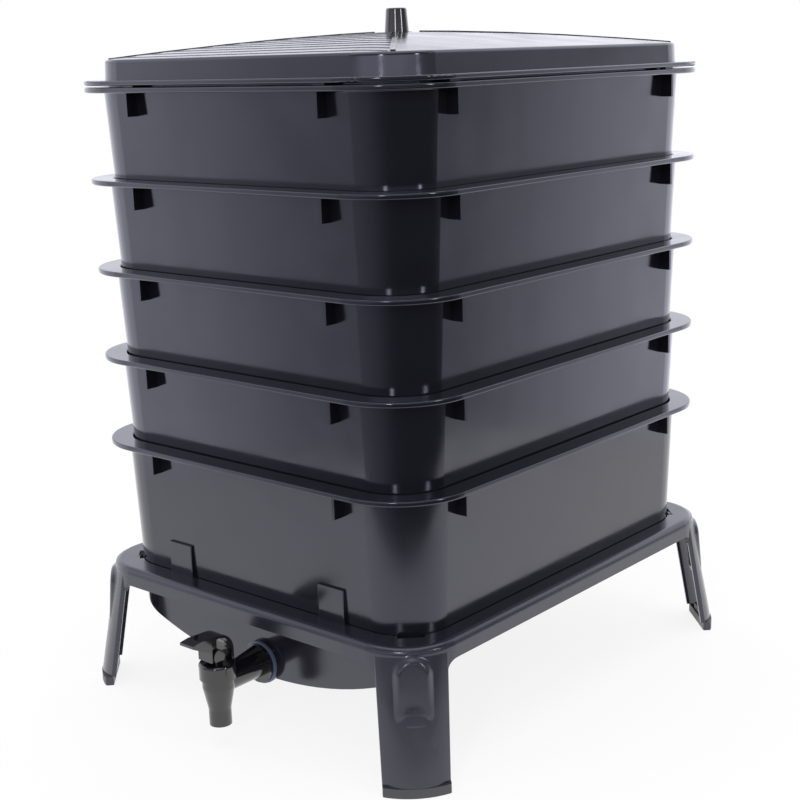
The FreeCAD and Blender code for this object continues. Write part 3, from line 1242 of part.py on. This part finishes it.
def build_stem():
    """The stem: a rod from the seat cup to an eye round the lever's crossbar."""
    stem = new_body("tap_stem")
    rod_low = "(-valve_seat + cup_height / 2)"
    rod = new_sketch(stem, "XY_Plane", ("0", "0", rod_low))
    draw_circle(rod, "stem_width")
    pad(stem, rod, f"pivot_height - eye_top - ({rod_low})")
    eye = new_sketch(stem, "YZ_Plane")
    half = "(stem_width / 2)"
    draw_rectangle(eye, f"(-{half})", half, "(pivot_height - eye_top - overlap)", "(pivot_height + eye_top)")
    pad(stem, eye, "stem_width", Midplane=True)
    hole = new_sketch(stem, "YZ_Plane")
    room = "(crossbar / 2 + eye_slot)"
    room_high = "(crossbar / 2 + eye_play)"
    draw_rectangle(hole, f"(-{room})", room, f"(pivot_height - {room_high})", f"(pivot_height + {room_high})")
    pocket(stem, hole, "2 * stem_width", Midplane=True)
    place(stem, *TAP_PLACE)
    return stem


def build_seat_cup():
    """The rubber cup that closes the port, pushed on the stem."""
    socket = "(-valve_seat + cup_height / 2)"
    cup = build_turned("tap_seat_cup", [
        ("0", "(-valve_seat)"), ("(cup_width / 2)", "(-valve_seat)"),
        ("(cup_width / 2)", "(-valve_seat + cup_edge)"),
        ("(stem_width / 2 + cup_neck)", "(-valve_seat + cup_height)"),
        ("(stem_width / 2)", "(-valve_seat + cup_height)"),
        ("(stem_width / 2)", socket), ("0", socket),
    ], spot=TAP_PLACE)
    return cup


def build_gasket():
    gasket = new_body("tap_gasket")
    ring = new_sketch(gasket, "XZ_Plane", ("0", "0", "(-tap_reach + gasket_thick)"))
    draw_circle(ring, "gasket_width")
    draw_circle(ring, "(shank_thread + 2 * fit)", tag="hole")
    pad(gasket, ring, "gasket_thick", Reversed=True)
    place(gasket, *TAP_PLACE)
    return gasket


# The whole wormery

pieces = [build_stand()]
for front_back, side_y in (("front", -1), ("back", 1)):
    for left_right, side_x in (("left", -1), ("right", 1)):
        pieces.append(build_foot(f"foot_{front_back}_{left_right}", side_x, side_y))
pieces.append(build_bin())
pieces.extend(build_trays())
pieces.append(build_lid())
pieces.append(build_knob())
pieces.extend(build_knob_fasteners())
pieces.extend([build_tap_body(), build_bonnet(), build_lever(), build_lever_pin(), build_stem(),
               build_seat_cup(), build_gasket()])
doc.recompute()

faults = [f"{item.Name}: {item.State}" for item in doc.Objects if {"Invalid", "Error"} & set(item.State)]
for piece in pieces:
    if piece.Shape.isNull() or not piece.Shape.isValid():
        faults.append(f"{piece.Label}: bad shape")
if faults:
    raise ValueError("; ".join(faults))
for piece in pieces:
    piece.Shape.exportStep(f"parts/{piece.Label}.step")
    box = piece.Shape.BoundBox
    print(f"{piece.Label}: {len(piece.Shape.Solids)} solid, volume {piece.Shape.Volume:.0f}, "
          f"x {box.XMin:.1f} {box.XMax:.1f}, y {box.YMin:.1f} {box.YMax:.1f}, z {box.ZMin:.1f} {box.ZMax:.1f}")
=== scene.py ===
import math

import bpy
from mathutils import Matrix, Vector
from mathutils.bvhtree import BVHTree


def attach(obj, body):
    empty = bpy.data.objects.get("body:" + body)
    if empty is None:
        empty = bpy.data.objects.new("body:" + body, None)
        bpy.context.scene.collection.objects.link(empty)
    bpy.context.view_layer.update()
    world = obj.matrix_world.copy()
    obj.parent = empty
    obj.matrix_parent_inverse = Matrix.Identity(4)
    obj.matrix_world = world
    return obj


# A stacking wormery in black moulded plastic, in metres, with the ground at z = 0 and the tap towards
# -Y. Every piece keeps its mesh and gets the finish of its own material. Only the lid's fine ridges and
# the soft swells on the legs are laid on top.

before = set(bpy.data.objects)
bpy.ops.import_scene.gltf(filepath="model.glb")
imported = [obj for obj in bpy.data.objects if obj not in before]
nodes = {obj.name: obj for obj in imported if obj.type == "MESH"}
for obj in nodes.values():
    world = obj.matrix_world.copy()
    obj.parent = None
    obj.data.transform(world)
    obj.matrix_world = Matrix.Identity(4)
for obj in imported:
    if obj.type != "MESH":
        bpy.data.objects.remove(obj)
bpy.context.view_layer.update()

# Trays, liquid bin and lid: thin polypropylene, injection moulded in polished steel, near black with a
# cool cast. Cooling leaves long upright ripples and clouds of gloss, so reflections come out uneven.
MM = 0.001
FLOW_MARKS = 110 * MM
GLOSS_CLOUDS = 45 * MM
CLOUD_VALUES = (0.3, 0.7)  # between these lie most values of a cloudy pattern
GLOSS_SPREAD = 0.3  # share by which the roughness varies from cloud to cloud
RIPPLES = 60 * MM
RIPPLE_SQUEEZE = 0.3  # the pattern's scale upwards, which draws the ripples out
PLASTIC_IOR = 1.5
PLASTIC_SPECULAR = 0.68  # a little above the usual 0.5, as bright as the photograph's reflections
MIX_FACTOR, MIX_FIRST, MIX_SECOND, MIX_RESULT = 0, 6, 7, 2  # sockets of a Mix node set to colour


def linear(code):
    """Linear colour from an sRGB hex code."""
    parts = [int(code[i:i + 2], 16) / 255 for i in (1, 3, 5)]
    return tuple(c / 12.92 if c <= 0.04045 else ((c + 0.055) / 1.055) ** 2.4 for c in parts) + (1.0,)


def add(tree, kind, inputs=None, **settings):
    """A shader node with its settings; an input that is given a socket is linked to it."""
    node = tree.nodes.new(kind)
    for name, value in settings.items():
        setattr(node, name, value)
    for key, value in (inputs or {}).items():
        if isinstance(value, bpy.types.NodeSocket):
            tree.links.new(value, node.inputs[key])
        else:
            node.inputs[key].default_value = value
    return node


def moulded(name, colours, roughness, grain_mm, grain_height_mm, ripple_mm=0.0, tint="#ffffff"):
    """Injection moulded material: faint flow marks between two colours, clouds of gloss, a fine skin
    and, on thin walls, upright ripples. The skin's grain is drawn as coarse as it needs to show."""
    material = bpy.data.materials.new(name)
    material.use_nodes = True
    tree = material.node_tree
    shader = tree.nodes["Principled BSDF"]
    spot = add(tree, "ShaderNodeTexCoord").outputs["Object"]
    flow = add(tree, "ShaderNodeTexNoise", {"Vector": spot, "Scale": 1 / FLOW_MARKS, "Detail": 3.0})
    hue = add(tree, "ShaderNodeMix", {
        MIX_FACTOR: flow.outputs["Fac"],
        MIX_FIRST: linear(colours[0]),
        MIX_SECOND: linear(colours[1]),
    }, data_type="RGBA")
    cloud = add(tree, "ShaderNodeTexNoise", {"Vector": spot, "Scale": 1 / GLOSS_CLOUDS, "Detail": 4.0})
    gloss = add(tree, "ShaderNodeMapRange", {
        "Value": cloud.outputs["Fac"],
        "From Min": CLOUD_VALUES[0],
        "From Max": CLOUD_VALUES[1],
        "To Min": roughness * (1 - GLOSS_SPREAD),
        "To Max": roughness * (1 + GLOSS_SPREAD),
    })
    grain = add(tree, "ShaderNodeTexNoise", {"Vector": spot, "Scale": 1 / (grain_mm * MM), "Detail": 2.0})
    bump = add(tree, "ShaderNodeBump", {"Height": grain.outputs["Fac"], "Distance": grain_height_mm * MM})
    if ripple_mm:
        upright = add(tree, "ShaderNodeMapping", {"Vector": spot, "Scale": (1, 1, RIPPLE_SQUEEZE)})
        ripple = add(tree, "ShaderNodeTexNoise", {
            "Vector": upright.outputs["Vector"],
            "Scale": 1 / RIPPLES,
            "Detail": 1.0,
        })
        bump = add(tree, "ShaderNodeBump", {
            "Height": ripple.outputs["Fac"],
            "Distance": ripple_mm * MM,
            "Normal": bump.outputs["Normal"],
        })
    tree.links.new(hue.outputs[MIX_RESULT], shader.inputs["Base Color"])
    tree.links.new(gloss.outputs["Result"], shader.inputs["Roughness"])
    tree.links.new(bump.outputs["Normal"], shader.inputs["Normal"])
    shader.inputs["IOR"].default_value = PLASTIC_IOR
    shader.inputs["Specular IOR Level"].default_value = PLASTIC_SPECULAR
    shader.inputs["Specular Tint"].default_value = linear(tint)
    return material


def dress(material, *names):
    """Gives pieces their finish."""
    for name in names:
        mesh = nodes[name].data
        mesh.materials.clear()
        mesh.materials.append(material)


polished = moulded(
    "polished_black_polypropylene", ("#121218", "#191920"), roughness=0.15,
    grain_mm=1.8, grain_height_mm=0.002, ripple_mm=0.16, tint="#eaeaff",
)
dress(polished, "base_bin", "tray_1", "tray_2", "tray_3", "tray_4", "lid")

# Lid ridges: thin raised lines of polypropylene, moulded in one with the lid across its front and back
# slopes. They run parallel to the rim from hip to hip, and the side slopes are plain.
MIDDLE_Y = 0.023039  # the middle of the lid, the trays and the stand's ring
RIDGE_PITCH = 17 * MM
RIDGE_WIDTH = 2.2 * MM
RIDGE_HEIGHT = 0.4 * MM
RIDGE_SUNK = 0.6 * MM  # how deep its foot stands in the lid
RIDGE_FIRST = 194 * MM  # outermost ridge from the middle
RIDGE_LAST = 22 * MM  # none nearer the knob seat than this
RIDGE_STEP = 10 * MM  # between two of its cross sections
RIDGE_FACETS = 5  # over its round top
SLOPE_HALF = 161.1 * MM  # half the width of a slope at its foot
SLOPE_DEPTH = 192.1 * MM  # from its foot to the middle
HIP_CLEAR = 4 * MM
ABOVE_LID = 1.0  # height from which the lid is felt


def skin_of(name):
    """A piece's surface, to feel where it lies."""
    mesh = nodes[name].data
    return BVHTree.FromPolygons([vertex.co for vertex in mesh.vertices],
                                [list(face.vertices) for face in mesh.polygons])


lid_skin = skin_of("lid")


def lid_height(x, y):
    """Height of the lid's outer skin above a point of its plan."""
    return lid_skin.ray_cast(Vector((x, y, ABOVE_LID)), Vector((0, 0, -1)))[0].z


def shaped(name, vertices, faces, smooth, material):
    """A piece made from its own points and faces."""
    mesh = bpy.data.meshes.new(name)
    mesh.from_pydata(vertices, [], faces)
    mesh.polygons.foreach_set("use_smooth", smooth)
    mesh.materials.append(material)
    piece = bpy.data.objects.new(name, mesh)
    bpy.context.scene.collection.objects.link(piece)
    return piece


ridge_profile = [(-RIDGE_WIDTH / 2, -RIDGE_SUNK)]
for facet in range(RIDGE_FACETS, -1, -1):
    bend = math.pi * facet / RIDGE_FACETS
    ridge_profile.append((RIDGE_WIDTH / 2 * math.cos(bend), RIDGE_HEIGHT * math.sin(bend)))
ridge_profile.append((RIDGE_WIDTH / 2, -RIDGE_SUNK))


def lid_ridges(name, side):
    """All the ridges of one slope, each a half round strip laid on the lid's skin."""
    vertices, faces = [], []
    around = len(ridge_profile)
    distance = RIDGE_FIRST
    while distance > RIDGE_LAST:
        y = MIDDLE_Y + side * distance
        reach = min(distance * SLOPE_HALF / SLOPE_DEPTH, SLOPE_HALF) - HIP_CLEAR
        count = max(2, round(2 * reach / RIDGE_STEP))
        first = len(vertices)
        for step in range(count + 1):
            x = -reach + 2 * reach * step / count
            vertices += [(x, y + across, lid_height(x, y + across) + up) for across, up in ridge_profile]
        for step in range(count):
            for index in range(around - 1):
                corner = first + step * around + index
                faces.append((corner, corner + 1, corner + around + 1, corner + around))
        faces.append(tuple(first + index for index in reversed(range(around))))
        faces.append(tuple(first + count * around + index for index in range(around)))
        distance -= RIDGE_PITCH
    ridges = shaped(name, vertices, faces, [len(face) == 4 for face in faces], polished)
    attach(ridges, "lid_lifted")


lid_ridges("lid_ridges_front", -1)
lid_ridges("lid_ridges_back", 1)

# Stand: one moulding of the same polypropylene, a ring with four legs. Its mould is only satin, which
# softens the highlights.
satin = moulded(
    "satin_black_polypropylene", ("#1b1b22", "#24242b"), roughness=0.24,
    grain_mm=0.8, grain_height_mm=0.006, ripple_mm=0.08, tint="#eeeeff",
)
dress(satin, "stand")

# Leg swells: the raised panel at the head of each leg, moulded in one with the stand, runs out softly
# into the leg's face. Each swell is a skin over the panel and the face around it.
RING_CORNER = (144.091 * MM, 177.091 * MM)  # middle of the ring's corner rounding, from the ring's middle
PANEL_HALF = 10.5 * MM
PANEL_ARCH = 94.5 * MM  # height at which the panel's round top springs
PANEL_FELT = (75 * MM, 90 * MM)  # heights at which the panel is felt
FACE_FELT = (14 * MM, 17 * MM, 20 * MM)  # beside the panel, where the plain face is felt
FEEL_FROM = 150 * MM  # outside the leg, from the corner rounding's middle
SWELL_HALF = 20 * MM
SWELL_LOW = 55 * MM
SWELL_HIGH = 112 * MM
SWELL_STEP = 1 * MM
SWELL_RUN = 6.5 * MM  # width over which the panel's edge runs out
SWELL_FOOT = 9 * MM  # height over which the swell's lower end sinks into the leg
SWELL_LIFT = 0.4 * MM  # how far the swell stands over the panel
SWELL_MERGE = 0.6 * MM  # how softly it comes down on the face
SWELL_LET_IN = 0.15 * MM  # how far all of it is let into the stand
SWELL_SINK = 0.35 * MM  # how much deeper its edge lies
SWELL_BACK = 1.2 * MM  # how deep its hidden back lies in the leg's wall

stand_skin = skin_of("stand")


def eased(share):
    """From 0 to 1 with a soft start and a soft end."""
    share = min(max(share, 0.0), 1.0)
    return share * share * (3 - 2 * share)


def skin_faces(columns, rows):
    """Faces of a closed skin between two layers of points, its front and then its back, each laid out
    row by row: both layers, and the strip around their edge."""
    behind = columns * rows
    faces = []
    for row in range(rows - 1):
        for column in range(columns - 1):
            first = row * columns + column
            ring = (first, first + 1, first + columns + 1, first + columns)
            faces.append(ring)
            faces.append(tuple(behind + index for index in reversed(ring)))
    border = list(range(columns))
    border += [row * columns + columns - 1 for row in range(1, rows)]
    border += [(rows - 1) * columns + column for column in range(columns - 2, -1, -1)]
    border += [row * columns for row in range(rows - 2, 0, -1)]
    for first, second in zip(border, border[1:] + border[:1]):
        faces.append((second, first, behind + first, behind + second))
    return faces


def leg_swell(name, side_x, side_y):
    """The swell on one leg: a closed skin laid out across the leg and up it."""
    out = Vector((side_x, side_y, 0)).normalized()
    along = Vector((-out.y, out.x, 0))
    corner = Vector((side_x * RING_CORNER[0], MIDDLE_Y + side_y * RING_CORNER[1], 0))

    def felt(across, height):
        """How far out the stand's skin lies."""
        start = corner + out * FEEL_FROM + along * across + Vector((0, 0, height))
        return FEEL_FROM - stand_skin.ray_cast(start, -out)[3]

    def plain_face(across, height):
        """How far out the leg's face would lie with no panel on it: an even curve through the face as
        it is felt beside the panel."""
        beside = [(probe ** 2, (felt(probe, height) + felt(-probe, height)) / 2) for probe in FACE_FELT]
        result = 0.0
        for square, lies in beside:
            share = 1.0
            for other, _ in beside:
                if other != square:
                    share *= (across ** 2 - other) / (square - other)
            result += lies * share
        return result

    columns = round(2 * SWELL_HALF / SWELL_STEP) + 1
    rows = round((SWELL_HIGH - SWELL_LOW) / SWELL_STEP) + 1
    low, high = PANEL_FELT
    panel_low, panel_high = felt(0.0, low), felt(0.0, high)
    front, back = [], []
    for row in range(rows):
        height = SWELL_LOW + row * SWELL_STEP
        panel = panel_low + (panel_high - panel_low) * (height - low) / (high - low)
        for column in range(columns):
            across = -SWELL_HALF + column * SWELL_STEP
            outside = math.hypot(across, max(height - PANEL_ARCH, 0)) - PANEL_HALF
            near = (1 - eased(outside / SWELL_RUN)) * eased((height - SWELL_LOW) / SWELL_FOOT)
            face = felt(across, height) if abs(across) >= FACE_FELT[0] else plain_face(across, height)
            rise = (panel + SWELL_LIFT - face) * near
            rise = (rise + math.hypot(rise, SWELL_MERGE)) / 2 - SWELL_LET_IN - SWELL_SINK * (1 - near)
            spot = corner + along * across + Vector((0, 0, height))
            front.append(spot + out * (face + rise))
            back.append(spot + out * (face - SWELL_BACK))
    faces = skin_faces(columns, rows)
    swell = shaped(name, front + back, faces, [True] * len(faces), satin)
    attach(swell, "base")


leg_swell("leg_swell_front_left", -1, -1)
leg_swell("leg_swell_front_right", 1, -1)
leg_swell("leg_swell_back_left", -1, 1)
leg_swell("leg_swell_back_right", 1, 1)

# Feet: four polypropylene blocks, each moulded on its own and pushed up into its leg. Their mould is
# coarser, so they look duller than the stand.
dull = moulded(
    "matt_black_polypropylene", ("#232328", "#2d2d33"), roughness=0.5,
    grain_mm=0.7, grain_height_mm=0.012,
)
dress(dull, "foot_front_left", "foot_front_right", "foot_back_left", "foot_back_right")

# Tap and lid knob: hard black acetal from polished moulds. The tap's collar is screwed on, and a screw
# from under the lid holds the knob. The high gloss shows small sharp highlights.
hard = moulded(
    "gloss_black_acetal", ("#0f0f13", "#151519"), roughness=0.1,
    grain_mm=1.2, grain_height_mm=0.0015,
)
dress(hard, "tap_body", "tap_bonnet", "tap_lever", "tap_lever_pin", "tap_stem", "lid_knob")

# Tap gasket: a washer of moulded rubber, squeezed between the tap's flange and the bin. Only its edge
# shows, dull and slate blue.
slate = moulded(
    "slate_blue_rubber", ("#4c566c", "#576178"), roughness=0.5,
    grain_mm=0.5, grain_height_mm=0.01,
)
dress(slate, "tap_gasket")

# Seat cup: moulded nitrile rubber on the tap's stem, inside the tap, where it closes the port. Soot in
# the rubber makes it black and dull all over.
cup = moulded(
    "black_nitrile_rubber", ("#1a1a1a", "#202020"), roughness=0.6,
    grain_mm=0.5, grain_height_mm=0.01,
)
dress(cup, "tap_seat_cup")

# Knob screw and washer: steel, plated with zinc, under the lid. The bright skin shows faint crystals,
# drawn as coarse as they need to show.
ZINC_CRYSTALS = 0.8 * MM
ZINC_ROUGHNESS = (0.24, 0.34)

zinc = bpy.data.materials.new("zinc_plated_steel")
zinc.use_nodes = True
plating = zinc.node_tree
bright = plating.nodes["Principled BSDF"]
bright.inputs["Metallic"].default_value = 1.0
plated_spot = add(plating, "ShaderNodeTexCoord").outputs["Object"]
crystals = add(plating, "ShaderNodeTexVoronoi", {"Vector": plated_spot, "Scale": 1 / ZINC_CRYSTALS})
plated_hue = add(plating, "ShaderNodeMix", {
    MIX_FACTOR: crystals.outputs["Distance"],
    MIX_FIRST: linear("#c4c6c9"),
    MIX_SECOND: linear("#a6a9ad"),
}, data_type="RGBA")
plated_gloss = add(plating, "ShaderNodeMapRange", {
    "Value": crystals.outputs["Distance"],
    "To Min": ZINC_ROUGHNESS[0],
    "To Max": ZINC_ROUGHNESS[1],
})
plating.links.new(plated_hue.outputs[MIX_RESULT], bright.inputs["Base Color"])
plating.links.new(plated_gloss.outputs["Result"], bright.inputs["Roughness"])
dress(zinc, "knob_screw", "knob_washer")

# Floor: a round sheet of white paper, most of it behind the object. The camera sees it nearly white
# with a faint shadow, and the plastic reflects it as brightly lit paper.
PHOTO_AZIMUTH = math.radians(41)  # how far round from the tap's side the camera stands
FLOOR_RADIUS = 0.9
FLOOR_BEHIND = 0.28  # how far the sheet's middle lies behind the object's, seen from the camera
FLOOR_SIDES = 96
PAPER_ROUGHNESS = 0.9
PAPER_SHINE = 1.4  # brightness of the paper in reflections
SEEN_WHITE = 0.85  # how far the paper goes to plain white for the camera
WHITE = (1, 1, 1, 1)

floor_mesh = bpy.data.meshes.new("floor")
edge = []
for side in range(FLOOR_SIDES):
    heading = 2 * math.pi * side / FLOOR_SIDES
    edge.append((
        FLOOR_RADIUS * math.cos(heading) - FLOOR_BEHIND * math.sin(PHOTO_AZIMUTH),
        FLOOR_RADIUS * math.sin(heading) + FLOOR_BEHIND * math.cos(PHOTO_AZIMUTH),
        0,
    ))
floor_mesh.from_pydata(edge, [], [tuple(range(FLOOR_SIDES))])
floor = bpy.data.objects.new("floor", floor_mesh)
bpy.context.scene.collection.objects.link(floor)

paper = bpy.data.materials.new("white_paper")
paper.use_nodes = True
sheet = paper.node_tree
matt = sheet.nodes["Principled BSDF"]
matt.inputs["Base Color"].default_value = linear("#fafafa")
matt.inputs["Roughness"].default_value = PAPER_ROUGHNESS
path = add(sheet, "ShaderNodeLightPath")
seen = add(sheet, "ShaderNodeMath", {
    0: path.outputs["Is Camera Ray"],
    1: SEEN_WHITE,
}, operation="MULTIPLY")
mirrored = add(sheet, "ShaderNodeMath", {
    0: path.outputs["Is Glossy Ray"],
    1: path.outputs["Is Transmission Ray"],
}, operation="MAXIMUM")
whitened = add(sheet, "ShaderNodeMath", {0: seen.outputs[0], 1: mirrored.outputs[0]}, operation="MAXIMUM")
shine = add(sheet, "ShaderNodeMapRange", {
    "Value": mirrored.outputs[0],
    "To Min": 1.0,
    "To Max": PAPER_SHINE,
})
glow = add(sheet, "ShaderNodeEmission", {"Color": WHITE, "Strength": shine.outputs["Result"]})
pale = add(sheet, "ShaderNodeMixShader", {0: whitened.outputs[0], 1: matt.outputs[0], 2: glow.outputs[0]})
sheet.links.new(pale.outputs[0], sheet.nodes["Material Output"].inputs["Surface"])
floor_mesh.materials.append(paper)

# Studio: white behind the object, bright panels at both sides, and a dark side where the camera stands,
# with bright panels low down in it. Angles go round from the camera's side, in degrees: negative to the
# picture's left, positive to its right. Levels are brightness, where 1 is white.
PANELS = (
    (-180, 1.2), (-130, 1.7), (-100, 1.85), (-92, 1.7), (-89, 1.1), (-86, 0.64), (-84, 0.56),
    (-59, 0.46), (-42, 0.38), (-25, 0.22), (-9, 0.1), (8, 0.075), (84, 0.075), (92, 0.16),
    (100, 0.48), (103, 0.74), (106, 1.3), (109, 1.9), (130, 2.1), (150, 1.9), (180, 1.2),
)
LOW_PANELS = (
    (-180, 1.2), (-130, 1.7), (-100, 1.85), (-92, 1.55), (-86, 0.86), (-76, 0.95), (-52, 1.9),
    (20, 1.9), (45, 1.6), (62, 0.7), (92, 0.45), (100, 0.6), (108, 0.7), (114, 1.2), (130, 2.1),
    (150, 1.9), (180, 1.2),
)
LOW_SHARE = (  # sine of the angle above the ground, and how much of the low panels shows there
    (0.0, 0.0), (0.005, 0.0), (0.045, 1.0), (0.13, 1.0), (0.19, 0.2), (0.45, 0.12), (0.6, 0.0),
    (1.0, 0.0),
)
CEILING = 0.75
CEILING_FROM = 0.45  # sine of the angle above the ground at which the ceiling begins
CEILING_FULL = 0.8
COOL = (0.96, 0.96, 1.06)
PLAIN = (1, 1, 1)

world = bpy.data.worlds.new("studio")
bpy.context.scene.world = world
world.use_nodes = True
sky = world.node_tree
sky.nodes.clear()
way = add(sky, "ShaderNodeTexCoord").outputs["Generated"]
rightwards = add(sky, "ShaderNodeVectorMath", {
    0: way,
    1: (math.cos(PHOTO_AZIMUTH), math.sin(PHOTO_AZIMUTH), 0),
}, operation="DOT_PRODUCT")
towards = add(sky, "ShaderNodeVectorMath", {
    0: way,
    1: (math.sin(PHOTO_AZIMUTH), -math.cos(PHOTO_AZIMUTH), 0),
}, operation="DOT_PRODUCT")
upwards = add(sky, "ShaderNodeSeparateXYZ", {0: way}).outputs["Z"]
turn = add(sky, "ShaderNodeMath", {
    0: rightwards.outputs["Value"],
    1: towards.outputs["Value"],
}, operation="ARCTAN2")
all_round = add(sky, "ShaderNodeMapRange", {
    "Value": turn.outputs[0],
    "From Min": -math.pi,
    "From Max": math.pi,
}).outputs["Result"]

bands = []
for place, levels, start, end, tint in (
    (all_round, PANELS, -180, 180, COOL),
    (all_round, LOW_PANELS, -180, 180, COOL),
    (upwards, LOW_SHARE, 0, 1, PLAIN),
):
    band = add(sky, "ShaderNodeValToRGB", {"Fac": place})
    stops = band.color_ramp.elements
    while len(stops) < len(levels):
        stops.new(0.5)
    for stop, (where, _) in zip(stops, levels):
        stop.position = (where - start) / (end - start)
    for stop, (_, level) in zip(stops, levels):
        stop.color = tuple(level * part for part in tint) + (1,)
    bands.append(band.outputs["Color"])
panels, low_panels, low_share = bands

walls = add(sky, "ShaderNodeMix", {
    MIX_FACTOR: low_share,
    MIX_FIRST: panels,
    MIX_SECOND: low_panels,
}, data_type="RGBA")
ceiling = add(sky, "ShaderNodeMapRange", {
    "Value": upwards,
    "From Min": CEILING_FROM,
    "From Max": CEILING_FULL,
})
dome = add(sky, "ShaderNodeMix", {
    MIX_FACTOR: ceiling.outputs["Result"],
    MIX_FIRST: walls.outputs[MIX_RESULT],
    MIX_SECOND: tuple(CEILING * part for part in COOL) + (1,),
}, data_type="RGBA")
around_it = add(sky, "ShaderNodeBackground", {"Color": dome.outputs[MIX_RESULT], "Strength": 1.0})
behind_it = add(sky, "ShaderNodeBackground", {"Color": WHITE, "Strength": 1.0})
looked_at = add(sky, "ShaderNodeLightPath").outputs["Is Camera Ray"]
shown = add(sky, "ShaderNodeMixShader", {0: looked_at, 1: around_it.outputs[0], 2: behind_it.outputs[0]})
add(sky, "ShaderNodeOutputWorld", {"Surface": shown.outputs[0]})

# Lamps: a soft square one overhead, and two tall narrow strips at the sides of the camera. All three
# are white panels, turned to face the object.
OVERHEAD_HEIGHT = 2.2
OVERHEAD_SIZE = (2.4, 2.4)
OVERHEAD_POWER = 22
STRIPS = (("strip_left", -14), ("strip_right", 52))  # degrees round from the camera's side
STRIP_DISTANCE = 2.2
STRIP_HEIGHT = 1.15
STRIP_AIM = (0, 0, 0.55)
STRIP_SIZE = (0.24, 0.7)
STRIP_POWER = 9


def softbox(name, spot, aim, size, power):
    """A flat lamp that faces its aim."""
    lamp = bpy.data.lights.new(name, "AREA")
    lamp.shape = "RECTANGLE"
    lamp.size, lamp.size_y = size
    lamp.energy = power
    box = bpy.data.objects.new(name, lamp)
    facing = (Vector(aim) - Vector(spot)).to_track_quat("-Z", "Y").to_matrix().to_4x4()
    box.matrix_world = Matrix.Translation(spot) @ facing
    bpy.context.scene.collection.objects.link(box)


softbox("overhead", (0, 0, OVERHEAD_HEIGHT), (0, 0, 0), OVERHEAD_SIZE, OVERHEAD_POWER)
for strip, round_from_camera in STRIPS:
    bearing = PHOTO_AZIMUTH + math.radians(round_from_camera)
    stand_at = (STRIP_DISTANCE * math.sin(bearing), -STRIP_DISTANCE * math.cos(bearing), STRIP_HEIGHT)
    softbox(strip, stand_at, STRIP_AIM, STRIP_SIZE, STRIP_POWER)

# Camera: the photograph's viewing angle, height and framing, found from where the rims, the lid, the
# stand's ring and the feet lie in it.
CAMERA_SPOT = (0.862, MIDDLE_Y - 1.001, 0.5626)
YAW, PITCH, ROLL = (math.radians(angle) for angle in (-41.05, -13.48, -1.78))
SENSOR_MM = 36
LENS_MM = 65.57

lens = bpy.data.cameras.new("camera")
lens.sensor_width = SENSOR_MM
lens.lens = LENS_MM
camera = bpy.data.objects.new("camera", lens)
forward = Vector((math.sin(YAW) * math.cos(PITCH), math.cos(YAW) * math.cos(PITCH), math.sin(PITCH)))
level_right = Vector((math.cos(YAW), -math.sin(YAW), 0))
level_up = level_right.cross(forward)
picture_right = math.cos(ROLL) * level_right + math.sin(ROLL) * level_up
picture_up = math.cos(ROLL) * level_up - math.sin(ROLL) * level_right
turned = Matrix((picture_right, picture_up, -forward)).transposed().to_4x4()
camera.matrix_world = Matrix.Translation(CAMERA_SPOT) @ turned
bpy.context.scene.collection.objects.link(camera)
bpy.context.scene.camera = camera
bpy.context.scene.view_settings.view_transform = "Standard"
